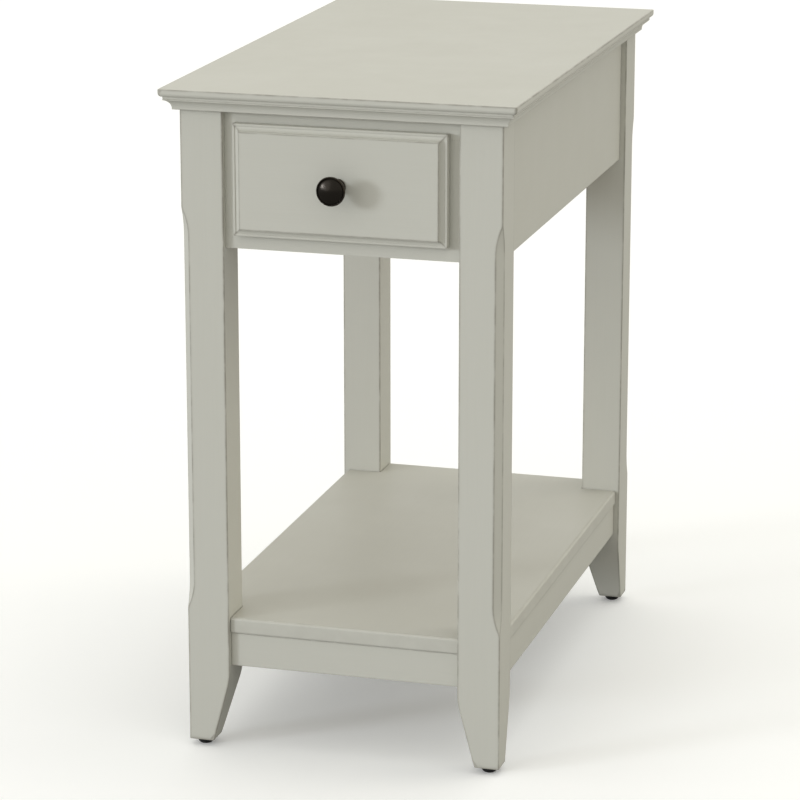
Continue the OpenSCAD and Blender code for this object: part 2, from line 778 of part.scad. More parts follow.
module box_dowel_places() for (y = [front_back + box_t / 2, box_end - box_t / 2],
                               z = [box_z + groove_z + box_dowel_edge, box_z + box_h - box_dowel_edge])
    translate([box_w / 2 - box_dowel_len, y, z]) rotate([0, 90, 0]) children();

module box_dowel_holes() for (side = [-1, 1]) mirror([side < 0 ? 1 : 0, 0, 0])
    box_dowel_places() cylinder(d = box_dowel_d + 2 * hole_gap, h = box_dowel_len + bore);

module box_front() color(bare_wood) at_table() difference() {
    panel_board(-box_w / 2 + box_t, front_back, box_z, [box_w - 2 * box_t, box_t, box_h]);
    box_bottom_slot();
    box_dowel_holes();
    rod_y([0, front_back - bore, open_mid], knob_screw_d + 2 * hole_gap, box_t + 2 * bore);
    for (x = [-1, 1])
        rod_y([x * front_screw_x, front_back - bore, open_mid], screw_d + 2 * hole_gap, box_t + 2 * bore);
}

module box_back() color(bare_wood) at_table() difference() {
    panel_board(-box_w / 2 + box_t, box_end - box_t, box_z, [box_w - 2 * box_t, box_t, box_h]);
    box_bottom_slot();
    box_dowel_holes();
}

module box_side(side) color(bare_wood) at_table() difference() {
    mirror([side < 0 ? 1 : 0, 0, 0])
        panel_board(box_w / 2 - box_t, front_back, box_z, [box_t, box_len, box_h]);
    box_bottom_slot();
    box_dowel_holes();
    mirror([side < 0 ? 1 : 0, 0, 0]) drawer_slide_screw_places()
        cylinder(d = small_screw_d + 2 * hole_gap, h = sheet + box_t - screw_end_gap);
}

module box_side_left() box_side(-1);
module box_side_right() box_side(1);

module box_bottom() color(bare_wood) at_table()
    translate([-box_w / 2 + box_t - groove + groove_gap, front_back + box_t - groove + groove_gap,
               box_z + groove_z])
    cube([box_w - 2 * box_t + 2 * (groove - groove_gap), box_len - 2 * box_t + 2 * (groove - groove_gap),
          bottom_t]);

module box_dowels() color(bare_wood) for (side = [-1, 1])
    on_side(side) box_dowel_places() cylinder(d = box_dowel_d, h = box_dowel_len);

// Screws from inside the box into the drawer front.
module front_screws() color(steel) at_table() for (x = [-1, 1])
    translate([x * front_screw_x, front_back + box_t, open_mid]) rotate([90, 0, 0])
        pan_screw(screw_d, box_t + front_t - front_screw_cover - screw_end_gap, front_head_h);

// ---------------------------------------------------------------- knob

// The knob is turned about its own axis, with its base at Z = 0.
module knob_shape() {
    head_z = knob_len - knob_rim - dome_h;
    dome_r = (pow(knob_d / 2, 2) + pow(dome_h, 2)) / (2 * dome_h);
    difference() {
        rotate_extrude($fn = 96) {
            square([base_d / 2, base_h]);
            square([neck_d / 2, knob_len - dome_h]);
            // Sweep of the neck out to the head.
            difference() {
                translate([0, head_z - sweep_h]) square([neck_d / 2 + sweep_r, sweep_h]);
                translate([neck_d / 2 + sweep_r, head_z - sweep_h]) circle(r = sweep_r);
            }
            // Rounded rim.
            translate([0, head_z]) square([knob_d / 2 - knob_rim / 2, knob_rim]);
            translate([knob_d / 2 - knob_rim / 2, head_z + knob_rim / 2]) circle(d = knob_rim);
            // Low dome.
            intersection() {
                translate([0, knob_len - dome_r]) circle(r = dome_r, $fn = 180);
                translate([0, head_z + knob_rim / 2]) square([knob_d / 2 - knob_rim / 2, knob_len]);
            }
        }
        translate([0, 0, -bore]) cylinder(d = knob_screw_d + 2 * hole_gap, h = knob_screw_bite + screw_end_gap);
    }
}

module knob() color(black) at_table() translate([0, front_y, open_mid]) rotate([90, 0, 0]) knob_shape();

module knob_screw() color(steel) at_table() translate([0, front_back + box_t, open_mid])
    rotate([90, 0, 0]) pan_screw(knob_screw_d, knob_screw_len, knob_head_h);

top_panel();
top_frame_front();
top_frame_back();
top_frame_left();
top_frame_right();
leg_front_left();
leg_front_right();
leg_back_left();
leg_back_right();
glides();
side_panel_left();
side_panel_right();
back_panel();
face_rail_top();
face_rail_bottom();
face_stile_left();
face_stile_right();
shelf();
shelf_rail_front();
shelf_rail_back();
shelf_rail_left();
shelf_rail_right();
top_cleat_left();
top_cleat_right();
slide_support_left();
slide_support_right();
case_dowels();
rail_dowels();
cleat_screws();
top_screws();
support_screws();
shelf_screws();
case_slide_left();
case_slide_right();
case_slide_screws();
case_roller_pins();
case_roller_left();
case_roller_right();
drawer_front();
box_front();
box_back();
box_side_left();
box_side_right();
box_bottom();
box_dowels();
front_screws();
knob();
knob_screw();
drawer_slide_left();
drawer_slide_right();
drawer_slide_screws();
drawer_roller_pins();
drawer_roller_left();
drawer_roller_right();
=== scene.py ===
# %% [markdown]
# # A narrow painted side table with one drawer
# The table is a set of real pieces: a moulded top, four tapered legs, a drawer case, a shelf on
# four rails, and a drawer on roller slides. The measured model gives every piece its place. This
# lesson builds the looks round it, one piece and one finish at a time.

# %% Load the measured frame
import math

import bmesh
import bpy
from mathutils import Matrix, Vector


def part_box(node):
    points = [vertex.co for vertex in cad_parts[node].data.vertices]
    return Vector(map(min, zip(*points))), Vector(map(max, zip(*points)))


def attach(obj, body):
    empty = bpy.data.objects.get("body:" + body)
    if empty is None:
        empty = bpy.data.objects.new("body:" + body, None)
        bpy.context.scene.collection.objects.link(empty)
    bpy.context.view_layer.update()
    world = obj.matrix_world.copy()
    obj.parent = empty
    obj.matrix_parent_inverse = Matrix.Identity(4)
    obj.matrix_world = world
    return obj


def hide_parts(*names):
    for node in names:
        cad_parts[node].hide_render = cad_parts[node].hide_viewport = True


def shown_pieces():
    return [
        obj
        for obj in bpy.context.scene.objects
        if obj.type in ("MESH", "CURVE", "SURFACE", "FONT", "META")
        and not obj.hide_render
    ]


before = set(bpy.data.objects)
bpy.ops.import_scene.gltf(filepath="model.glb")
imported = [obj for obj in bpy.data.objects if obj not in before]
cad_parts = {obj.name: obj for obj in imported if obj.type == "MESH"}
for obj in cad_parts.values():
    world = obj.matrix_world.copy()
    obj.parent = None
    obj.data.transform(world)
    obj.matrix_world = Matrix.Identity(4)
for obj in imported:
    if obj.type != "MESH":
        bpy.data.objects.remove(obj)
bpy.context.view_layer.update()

MM = 0.001

# %% [markdown]
# ## Camera
# The table is seen from a little above and from its right, through a long lens, so that its edges
# stay almost parallel. An orthographic camera would not let the far legs shrink at all.

# %% The camera
EYE = Vector((0.857, -3.062, 1.140))
AIM = Vector((-0.019, 0.0, 0.2700))
camera_data = bpy.data.cameras.new("camera")
camera_data.sensor_width = 36.0
camera_data.lens = 155.5
camera_data.clip_end = 200.0
camera = bpy.data.objects.new("camera", camera_data)
camera.location = EYE
camera.rotation_euler = (AIM - EYE).to_track_quat("-Z", "Y").to_euler()
bpy.context.scene.collection.objects.link(camera)
bpy.context.scene.camera = camera
print("camera stands", round((AIM - EYE).length, 3), "m from the table's middle")

# %% [markdown]
# ## Helpers for shapes
# Painted joinery shows its quality at the edges, where the paint is a little thinner, and there the
# paint also carries a painted shade of the eased arrises. So each mesh carries a value named "edge",
# which is 1 on its arrises and falls to 0 a few millimetres away. Most pieces are lofts, rings of
# points joined by faces, which keep the points of the maker's profile.

# %% Mesh helpers
SHARP = math.radians(38)
FADE = 3 * MM


def link(name, mesh):
    """Puts a mesh into the scene as a piece with its origin at zero."""
    piece = bpy.data.objects.new(name, mesh)
    bpy.context.scene.collection.objects.link(piece)
    return piece


def finish_mesh(piece):
    """Faces outward, smooth shading up to the sharp corners, and flat faces that stay flat."""
    shape = bmesh.new()
    shape.from_mesh(piece.data)
    bmesh.ops.recalc_face_normals(shape, faces=shape.faces)
    shape.to_mesh(piece.data)
    shape.free()
    piece.data.shade_smooth()
    piece.data.set_sharp_from_angle(angle=SHARP)
    weighted = piece.modifiers.new("flat faces", "WEIGHTED_NORMAL")
    weighted.keep_sharp = True
    return piece


def make_piece(name, points, faces, marks):
    """A piece from points in metres, with its edge values."""
    mesh = bpy.data.meshes.new(name)
    mesh.from_pydata(points, [], faces)
    mesh.attributes.new("edge", "FLOAT", "POINT").data.foreach_set("value", marks)
    return finish_mesh(link(name, mesh))


def loft(name, rings, marks):
    """Joins rings of equal length and fills the first and the last."""
    count = len(rings[0])
    points = [tuple(p) for ring in rings for p in ring]
    values = [m for ring in marks for m in ring]
    last = len(points) - count
    faces = []
    for low in range(0, last, count):
        for j in range(count):
            k = (j + 1) % count
            faces.append((low + j, low + k, low + count + k, low + count + j))
    faces.append(tuple(reversed(range(count))))
    faces.append(tuple(range(last, len(points))))
    return make_piece(name, points, faces, values)


def arc(centre, radius, start, end, steps):
    """Points on an arc in a section, from start to end in degrees."""
    turns = [math.radians(start + (end - start) * k / steps) for k in range(steps + 1)]
    return [(centre[0] + radius * math.cos(a), centre[1] + radius * math.sin(a)) for a in turns]


def worn_shaded_bend(centre, radius, start, steps=4):
    """A quarter bend from an angle, with edge values and a point on each side where its wear and painted
    edge shade end.
    """
    bend = arc(centre, radius, start, start + 90, steps)
    before, after = [FADE * Vector((math.cos(a), math.sin(a)))
                     for a in (math.radians(start + 90), math.radians(start + 180))]
    return [(bend[0][0] - before.x, bend[0][1] - before.y, 0.0), *[(*p, 1.0) for p in bend],
            (bend[-1][0] + after.x, bend[-1][1] + after.y, 0.0)]


def rounded_rectangle(half_x, half_y, corner):
    """Points of a rectangle with round corners, with edge values that are 1 on the corners."""
    ring = []
    for quarter, (sx, sy) in enumerate(((1, 1), (-1, 1), (-1, -1), (1, -1))):
        ring += worn_shaded_bend((sx * (half_x - corner), sy * (half_y - corner)), corner, 90 * quarter)
    return ring


def dress(piece, body, slot, *nodes):
    """The piece rides on its body and stands for its measured nodes. slot is not used."""
    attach(piece, body)
    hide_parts(*nodes)
    return piece


print("helpers ready")

# %% [markdown]
# ## The top
# The top is a flat board with a crisp upper arris, a quarter round under it and a small fillet, which
# a router makes in one pass round the board. Here one section is drawn, and a ring of the board's
# outline is placed at each of its points, set in by the section's reach. That gives true mitres at
# the four corners, which are eased by a hair, as sanding leaves them.

# %% Top board
ARRIS = 0.6 * MM
CUT_ARRIS = 0.3 * ARRIS
FILLET_IN = 3.5 * MM
FILLET_H = 2 * MM
NOSE_R = FILLET_IN
TOP_CORNER = 1.6 * MM
LEAST_CORNER = 0.3 * MM
CORNER_SHARE = 0.6
EASE = 0.25 * MM
UNDER_IN = 12 * MM
FACE_IN = 14 * MM

top_low, top_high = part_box("top_panel")
nose_z = top_low.z + FILLET_H + NOSE_R
# Each entry is the set-in from the widest edge, the height, and the edge value.
top_profile = [(FILLET_IN + UNDER_IN, top_low.z, 0.0), (FILLET_IN + FADE, top_low.z, 0.0),
               (FILLET_IN + EASE, top_low.z, 0.6), (FILLET_IN, top_low.z + EASE, 0.6),
               (FILLET_IN, top_low.z + FILLET_H, 0.2)]
top_profile += [(-reach, height, 0.2) for reach, height in arc((-NOSE_R, nose_z), NOSE_R, -90, 0, 12)]
top_profile += [(0, top_high.z - ARRIS, 1.0), (CUT_ARRIS, top_high.z - CUT_ARRIS, 1.0),
                (ARRIS, top_high.z, 1.0), (ARRIS + FADE, top_high.z, 0.0),
                (ARRIS + FACE_IN, top_high.z, 0.0)]


def plate_rings(low, high, axes, profile, corner, place):
    """Rings of a box's outline at each set-in of a profile. place makes a point of (x, y, level)."""
    middle, half = (low + high) / 2, (high - low) / 2
    rings, marks = [], []
    for inset, level, mark in profile:
        radius = max(LEAST_CORNER, corner - CORNER_SHARE * inset)
        outline = rounded_rectangle(half[axes[0]] - inset, half[axes[1]] - inset, radius)
        rings.append([place(middle, x, y, level) for x, y, _ in outline])
        marks.append([max(mark, worn_and_shaded if mark > 0 else 0.0) for _, _, worn_and_shaded in outline])
    return rings, marks


def lying(middle, x, y, level):
    return (middle.x + x, middle.y + y, level)


rings, marks = plate_rings(top_low, top_high, (0, 1), top_profile, TOP_CORNER, lying)
top_board = dress(loft("top_board", rings, marks), "table", "paint", "top_panel")
print("top board:", len(top_board.data.polygons), "faces, flat edge",
      round((top_high.z - nose_z) / MM, 2), "mm high")

# %% [markdown]
# ## The cove frame under the top
# Four sticks of cove moulding are mitred round the underside of the top. A stick is a section that
# follows a path, which is what Geometry Nodes do well: the tree below takes a path and a section,
# sweeps one along the other, and pushes each end out by as much as the section reaches, which cuts
# the mitre. A hair of space is left in each mitre, as on the real joint.

# %% Helpers for node trees


def new_tree(name, kind, inputs, outputs):
    """A node tree with named inputs (name, type, value) and outputs (name, type)."""
    tree = bpy.data.node_groups.new(name, kind)
    for label, socket, value in inputs:
        made = tree.interface.new_socket(label, in_out="INPUT", socket_type="NodeSocket" + socket)
        if value is not None:
            made.default_value = value
    for label, socket in outputs:
        tree.interface.new_socket(label, in_out="OUTPUT", socket_type="NodeSocket" + socket)
    return tree, tree.nodes.new("NodeGroupInput").outputs, tree.nodes.new("NodeGroupOutput")


def set_inputs(tree, node, inputs):
    """Sets a node's inputs from values, or joins them from sockets."""
    for key, value in inputs.items():
        if isinstance(value, bpy.types.NodeSocket):
            tree.links.new(value, node.inputs[key])
        else:
            node.inputs[key].default_value = value


def feed(tree, kind, inputs, **settings):
    """Adds a node with its settings and inputs, and gives its outputs."""
    made = tree.nodes.new(kind)
    for key, value in settings.items():
        setattr(made, key, value)
    set_inputs(tree, made, inputs)
    return made.outputs


def calc(tree, operation, a, b=0.0, clamp=False):
    return feed(tree, "ShaderNodeMath", {0: a, 1: b}, operation=operation, use_clamp=clamp)[0]


def times(tree, a, b, clamp=False):
    return calc(tree, "MULTIPLY", a, b, clamp)


def close_tree(tree, shape, given, out):
    """Ends a geometry tree: instances become real, get their finish and leave."""
    real = feed(tree, "GeometryNodeRealizeInstances", {"Geometry": shape})[0]
    done = feed(tree, "GeometryNodeSetMaterial", {"Geometry": real, "Material": given["Finish"]})[0]
    set_inputs(tree, out, {"Geometry": done})
    print(tree.name, len(tree.nodes), "nodes")


def run_tree(carrier, tree, values, name, keep=()):
    """Runs a tree on a carrier, turns the result into a plain mesh, and returns it as a piece."""
    modifier = carrier.modifiers.new("maker", "NODES")
    modifier.node_group = tree
    for item in tree.interface.items_tree:
        if item.in_out == "INPUT" and item.name in values:
            modifier[item.identifier] = values[item.name]
    bpy.context.view_layer.update()
    graph = bpy.context.evaluated_depsgraph_get()
    mesh = bpy.data.meshes.new_from_object(carrier.evaluated_get(graph))
    mesh.name = name
    for helper in (carrier, *keep):
        bpy.data.objects.remove(helper)
    return link(name, mesh)


print("tree helpers ready")

# %% The tree that sweeps and mitres a stick
SHAPE = ("Geometry", "Geometry")
stick_tree, given, out = new_tree("mitred_stick", "GeometryNodeTree", [
    (*SHAPE, None), ("Section", "Object", None), ("Joint gap", "Float", 0.1 * MM),
    ("Finish", "Material", None)], [SHAPE])
drawn = feed(stick_tree, "GeometryNodeObjectInfo", {"Object": given["Section"]})["Geometry"]
curves = [feed(stick_tree, "GeometryNodeMeshToCurve", {"Mesh": line})["Curve"]
          for line in (given["Geometry"], drawn)]
sweep = feed(stick_tree, "GeometryNodeCurveToMesh", {"Curve": curves[0], "Profile Curve": curves[1],
                                                     "Fill Caps": True})["Mesh"]
swept_to = feed(stick_tree, "GeometryNodeInputPosition", {})["Position"]
split = feed(stick_tree, "ShaderNodeSeparateXYZ", {"Vector": swept_to})
reach_out = calc(stick_tree, "SUBTRACT", split["Y"], given["Joint gap"])
push = times(stick_tree, calc(stick_tree, "SIGN", split["X"]), reach_out)
shift = feed(stick_tree, "ShaderNodeCombineXYZ", {"X": push})["Vector"]
mitre = feed(stick_tree, "GeometryNodeSetPosition", {"Geometry": sweep, "Offset": shift})[0]
close_tree(stick_tree, mitre, given, out)

# %% The four sticks
COVE_R = 8 * MM
COVE_FOOT = 5.2 * MM
COVE_FILLET = 1 * MM
STICK_W = 50 * MM
STICK_GAP = 0.08 * MM

leg_low, leg_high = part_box("leg_front_left")
leg_far_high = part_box("leg_back_right")[1]
half_w = (leg_far_high.x - leg_low.x) / 2
half_d = (leg_far_high.y - leg_low.y) / 2
table_middle = Vector(((leg_low.x + leg_far_high.x) / 2, (leg_low.y + leg_far_high.y) / 2, 0))
stick_low, stick_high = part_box("top_frame_front")
overhang = leg_low.y - stick_low.y
rise = stick_high.z - stick_low.z
cove_end = math.degrees(math.acos((overhang - COVE_FOOT - COVE_R) / COVE_R))
cove_middle = (COVE_FOOT + COVE_R, COVE_FILLET)
section = [(overhang - STICK_W, 0, 0.0), (COVE_FOOT - FADE, 0, 0.0), (COVE_FOOT - EASE, 0, 1.0),
           (COVE_FOOT, EASE, 1.0)]
section += [(out, up, 0.25) for out, up in arc(cove_middle, COVE_R, 180, cove_end, 12)]
section += [(overhang, rise - EASE, 1.0), (overhang - EASE, rise, 0.5), (overhang - STICK_W, rise, 0.0)]


def line_object(name, points, closed, marks=None):
    """A bare polyline as a mesh, to be read by a tree."""
    mesh = bpy.data.meshes.new(name)
    count = len(points)
    edges = [(i, (i + 1) % count) for i in range(count if closed else count - 1)]
    mesh.from_pydata(points, edges, [])
    if marks:
        mesh.attributes.new("edge", "FLOAT", "POINT").data.foreach_set("value", marks)
    return link(name, mesh)


def cove_stick(name, half_length, distance, turn, node):
    """A mitred stick, turned to its side of the table and moved out to the legs' faces."""
    # The sweep turns a section's axes to point backward and down, so both are drawn negative.
    drawn = line_object(name + "_section", [(-out, -up, 0) for out, up, _ in section], True,
                        [mark for _, _, mark in section])
    ends = [-half_length, FADE - half_length, half_length - FADE, half_length]
    path = line_object(name + "_path", [(x, 0, 0) for x in ends], False)
    stick = run_tree(path, stick_tree, {"Section": drawn, "Joint gap": STICK_GAP}, name, (drawn,))
    seat = Matrix.Translation(table_middle + Vector((0, 0, stick_low.z)))
    stick.data.transform(seat @ Matrix.Rotation(turn, 4, "Z") @ Matrix.Translation((0, distance, 0)))
    return dress(finish_mesh(stick), "table", "paint", node)


for side, length, distance, turn in (("back", half_w, half_d, 0), ("left", half_d, half_w, math.pi / 2),
                                     ("front", half_w, half_d, math.pi),
                                     ("right", half_d, half_w, -math.pi / 2)):
    stick = cove_stick("cove_" + side, length, distance, turn, "top_frame_" + side)
    print(stick.name, len(stick.data.polygons), "faces")

# %% [markdown]
# ## The legs
# Each leg starts as a square post. A bandsaw cuts the two inner faces to a curve and a straight
# taper, and a router runs a stopped chamfer down the outer corner. So the leg is a loft of level
# rings, where the width and the chamfer of each ring come from its height.

# %% Legs
LEG_W = leg_high.x - leg_low.x
FOOT_W = 23 * MM
FOOT_CURVE_R = 67 * MM
TAPER_GAP = 4 * MM
CHAMFER = 6.5 * MM
CHAMFER_RUN = 27 * MM
CHAMFER_LOW = 7 * MM
CHAMFER_HIGH = 36 * MM
LEG_EASE = 0.8 * MM
LEAST_CHAMFER = 0.64 * LEG_EASE
FOOT_CUT = 0.3 * LEG_EASE

taper_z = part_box("shelf_rail_front")[0].z - TAPER_GAP
shelf_low, shelf_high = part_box("shelf")
case_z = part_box("side_panel_right")[0].z
curve_x = LEG_W - FOOT_CURVE_R
to_foot = Vector((FOOT_W - curve_x, leg_low.z - taper_z))
turn = math.atan2(to_foot.y, to_foot.x) + math.acos(FOOT_CURVE_R / to_foot.length)
touch = Vector((curve_x + FOOT_CURVE_R * math.cos(turn), taper_z + FOOT_CURVE_R * math.sin(turn)))
chamfer_depth = CHAMFER / math.sqrt(2)
run_r = (CHAMFER_RUN ** 2 + chamfer_depth ** 2) / (2 * chamfer_depth)
full_low = shelf_high.z + CHAMFER_LOW + CHAMFER_RUN
full_high = case_z + CHAMFER_HIGH - CHAMFER_RUN


def leg_width(z):
    """Width of the leg's two tapered faces at a height."""
    if z >= taper_z:
        return LEG_W
    if z >= touch.y:
        return curve_x + math.sqrt(FOOT_CURVE_R ** 2 - (taper_z - z) ** 2)
    return FOOT_W + (touch.x - FOOT_W) * (z - leg_low.z) / (touch.y - leg_low.z)


def chamfer_width(z):
    """Width of the chamfer along each face at a height, never under the eased corner."""
    beyond = max(full_low - z, z - full_high, 0)
    if beyond >= CHAMFER_RUN:
        return LEAST_CHAMFER
    depth = chamfer_depth - run_r + math.sqrt(run_r ** 2 - beyond ** 2)
    return max(LEAST_CHAMFER, depth * math.sqrt(2))


def leg_ring(width, cut, inset=0.0):
    """One level ring of a leg, measured inward from its outer corner, with edge values."""
    r = LEG_EASE
    side = width - inset
    flat = cut + r * math.tan(math.radians(22.5))
    upper = arc((r + inset, flat + inset), r, 180, 225, 3)
    lower = arc((flat + inset, r + inset), r, 225, 270, 3)
    # Two points on the chamfer let the worn edge and its painted shade fade out across it.
    fade = min(FADE, 0.5 * math.hypot(lower[0][0] - upper[-1][0], lower[0][1] - upper[-1][1]))
    unworn = 1 - fade / FADE
    slant = fade * math.sqrt(0.5)
    ring = [(inset, flat + FADE + inset, 0.0), *[(*p, 1.0) for p in upper],
            (upper[-1][0] + slant, upper[-1][1] - slant, unworn),
            (lower[0][0] - slant, lower[0][1] + slant, unworn), *[(*p, 1.0) for p in lower],
            (flat + FADE + inset, inset, 0.0)]
    corners = (((side - r, r + inset), 270), ((side - r, side - r), 0), ((r + inset, side - r), 90))
    for centre, start in corners:
        ring += worn_shaded_bend(centre, r, start)
    return ring


def steps_between(start, end, count):
    return [start + (end - start) * k / count for k in range(1, count + 1)]


BELOW_CHAMFER = 1 * MM
levels = steps_between(leg_low.z + LEG_EASE, touch.y, 8) + steps_between(touch.y, taper_z, 14)
levels += [full_low - CHAMFER_RUN - BELOW_CHAMFER] + steps_between(full_low - CHAMFER_RUN, full_low, 12)
levels += [full_high] + steps_between(full_high, full_high + CHAMFER_RUN, 12) + [leg_high.z]


def leg(name, sx, sy, node):
    """A leg for one corner; sx and sy are the signs of its corner."""
    stack = [(leg_low.z + up, leg_ring(FOOT_W, LEAST_CHAMFER, inset))
             for up, inset in ((0, FADE), (0, LEG_EASE), (FOOT_CUT, FOOT_CUT), (LEG_EASE, 0))]
    stack += [(z, leg_ring(leg_width(z), chamfer_width(z))) for z in levels]
    rings = [[(table_middle.x + sx * (half_w - u), table_middle.y + sy * (half_d - v), z)
              for u, v, _ in ring] for z, ring in stack]
    marks = [[mark for _, _, mark in ring] for _, ring in stack]
    marks[0] = [0.0] * len(marks[0])
    for low in (1, 2, 3):
        marks[low] = [1.0] * len(marks[low])
    return dress(loft(name, rings, marks), "table", "paint", node)


for side_name, sx in (("left", -1), ("right", 1)):
    for end_name, sy in (("front", -1), ("back", 1)):
        made = leg(f"leg_{end_name}_{side_name}_post", sx, sy, f"leg_{end_name}_{side_name}")
print("legs:", len(made.data.polygons), "faces each; taper starts at", round(taper_z / MM, 1), "mm")

# %% [markdown]
# ## Boards
# The case, the rails, the supports and the drawer box are flat boards. A plain box would have knife
# edges that no sanded board has, so each board gets its arrises rounded by about half a millimetre
# and a narrow border on each face, over which the worn edge and its painted shade fade out.

# %% A board with eased arrises
# Edge values set both the rub and the painted shade on the arrises.
BOARD_WEAR_AND_SHADE = 0.75
SMALLEST_FACE = 2 * MM
BORDER_SHARE = 0.3
SQUARE_ON = 0.9999


def board(name, node, body, slot_name, round_by=0.5 * MM, shrink=0.0, rubbed_and_shaded=BOARD_WEAR_AND_SHADE):
    """An eased board in the place of a measured node. shrink leaves a hair at each joint."""
    low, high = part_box(node)
    shape = bmesh.new()
    bmesh.ops.create_cube(shape, size=1)
    for vertex in shape.verts:
        vertex.co = Vector([low[i] + shrink + (vertex.co[i] + 0.5) * (high[i] - low[i] - 2 * shrink)
                            for i in range(3)])
    bmesh.ops.bevel(shape, geom=shape.edges[:], offset=round_by, segments=3, profile=0.5,
                    affect="EDGES")
    layer = shape.verts.layers.float.new("edge")
    for vertex in shape.verts:
        vertex[layer] = rubbed_and_shaded
    shape.normal_update()
    for flat in [f for f in shape.faces if max(abs(c) for c in f.normal) > SQUARE_ON]:
        shortest = min(e.calc_length() for e in flat.edges)
        if shortest > SMALLEST_FACE:
            bmesh.ops.inset_individual(shape, faces=[flat], use_even_offset=True,
                                       thickness=min(FADE, BORDER_SHARE * shortest))
            for vertex in flat.verts:
                vertex[layer] = 0.0
    mesh = bpy.data.meshes.new(name)
    shape.to_mesh(mesh)
    shape.free()
    return dress(finish_mesh(link(name, mesh)), body, slot_name, node)


JOINT = 0.04 * MM
PAINTED = ("side_panel_left", "side_panel_right", "back_panel", "face_rail_top", "face_rail_bottom",
           "face_stile_left", "face_stile_right", "shelf_rail_front", "shelf_rail_back",
           "shelf_rail_left", "shelf_rail_right")
for node in PAINTED:
    # Paint fills the joints of the face frame, so its boards meet without a groove.
    if node.startswith("face_"):
        board(node + "_board", node, "table", "paint", 0.12 * MM, 0, 0)
    else:
        board(node + "_board", node, "table", "paint", 0.5 * MM, JOINT)
for node in ("top_cleat_left", "top_cleat_right", "slide_support_left", "slide_support_right"):
    board(node + "_board", node, "table", "support_wood", 1.0 * MM)
for node in ("box_front", "box_back", "box_side_left", "box_side_right"):
    board(node + "_board", node, "drawer", "box_wood", 0.9 * MM, JOINT)
board("box_bottom_board", "box_bottom", "drawer", "box_wood", 0.3 * MM)
print("painted boards:", len(PAINTED))

# %% [markdown]
# ## The shelf
# The shelf is one board, notched round the four legs, with its outer edges rounded over. Its outline
# has twelve corners. The rings of the loft draw in along the outer edges and hardly at all at the
# notches, because a router can't reach there once the legs are in.

# %% Shelf
SHELF_EASE = 2.5 * MM
NOTCH_GAP = 0.5 * MM
NOTCH_SHARE = 0.1
# The shelf's edge value sets both its rub and its painted edge shade.
SHELF_WEAR_AND_SHADE = 0.7

shelf_x = (shelf_high.x - shelf_low.x) / 2
shelf_y = (shelf_high.y - shelf_low.y) / 2
notch_x = half_w - LEG_W - NOTCH_GAP
notch_y = half_d - LEG_W - NOTCH_GAP
shelf_profile = [(SHELF_EASE + FADE, shelf_low.z, 0.0)]
for level, start in ((shelf_low.z + SHELF_EASE, -90), (shelf_high.z - SHELF_EASE, 0)):
    shelf_profile += [(SHELF_EASE - x, z, SHELF_WEAR_AND_SHADE)
                      for x, z in arc((0, level), SHELF_EASE, start, start + 90, 4)]
shelf_profile.append((SHELF_EASE + FADE, shelf_high.z, 0.0))


def notched_outline(inset):
    """The shelf's twelve corners, drawn in by inset along its outer edges."""
    x, y = shelf_x - inset, shelf_y - inset
    nx, ny = notch_x - NOTCH_SHARE * inset, notch_y - NOTCH_SHARE * inset
    quarter = [(x, ny), (nx, ny), (nx, y)]
    return (quarter + [(-px, py) for px, py in reversed(quarter)] + [(-px, -py) for px, py in quarter]
            + [(px, -py) for px, py in reversed(quarter)])


rings = [[(table_middle.x + x, table_middle.y + y, z) for x, y in notched_outline(inset)]
         for inset, z, _ in shelf_profile]
marks = [[mark] * len(rings[0]) for _, _, mark in shelf_profile]
dress(loft("shelf_board", rings, marks), "table", "paint", "shelf")
print("shelf profile:", [(round(i / MM, 2), round(z / MM, 2)) for i, z, _ in shelf_profile])

# %% [markdown]
# ## The drawer front
# The front is a solid board with a raised field. One router bit runs round the four sides and cuts a
# small square step, a hollow cove and a narrow rounded lip. It is lofted like the top, but standing.

# %% Drawer front
FIELD_IN = 6.8 * MM
STEP = 0.9 * MM
HOLLOW_R = 4.2 * MM
LIP_W = 2.1 * MM
LIP_RISE = 0.7 * MM
FRONT_CORNER = 0.8 * MM
LIP_CUT = 0.2 * MM
LIP_TURN = 0.3 * MM
BACK_EASE = 0.4 * MM

front_low, front_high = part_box("drawer_front")
front_t = front_high.y - front_low.y
lip_depth = STEP + HOLLOW_R - LIP_RISE
# Each entry is the set-in from the outer edge, the depth behind the field, and the edge value.
front_profile = [(FIELD_IN + FACE_IN, 0, 0.0), (FIELD_IN + FADE, 0, 0.0), (FIELD_IN + EASE, 0, 1.0),
                 (FIELD_IN, EASE, 1.0), (FIELD_IN, STEP, 0.3), (LIP_W + HOLLOW_R, STEP, 0.3)]
front_profile += [(*p, 0.2) for p in arc((LIP_W, STEP), HOLLOW_R, 0, 90, 12)[1:]]
front_profile += [(LIP_W, lip_depth + LIP_CUT, 0.4), (LIP_W - LIP_TURN, lip_depth, 0.5)]
front_profile += [(*p, 0.5) for p in arc((LIP_RISE, lip_depth + LIP_RISE), LIP_RISE, -90, -180, 5)]
front_profile += [(0, front_t - BACK_EASE, 0.6), (BACK_EASE, front_t, 0.6),
                  (BACK_EASE + FADE, front_t, 0.0), (FIELD_IN + FACE_IN, front_t, 0.0)]


def standing(middle, x, y, level):
    return (middle.x + x, front_low.y + level, middle.z + y)


rings, marks = plate_rings(front_low, front_high, (0, 2), front_profile, FRONT_CORNER, standing)
dress(loft("drawer_front_board", rings, marks), "drawer", "paint", "drawer_front")
print("drawer front:", round((front_high.x - front_low.x) / MM), "x",
      round((front_high.z - front_low.z) / MM), "mm")

# %% [markdown]
# ## Turned pieces
# The knob and the slide rollers are turned, so a profile is spun about its axis. A lathe needs many
# sides to look round, and its two poles must be single points, or the middle of the knob would show
# a pinch.

# %% Lathe


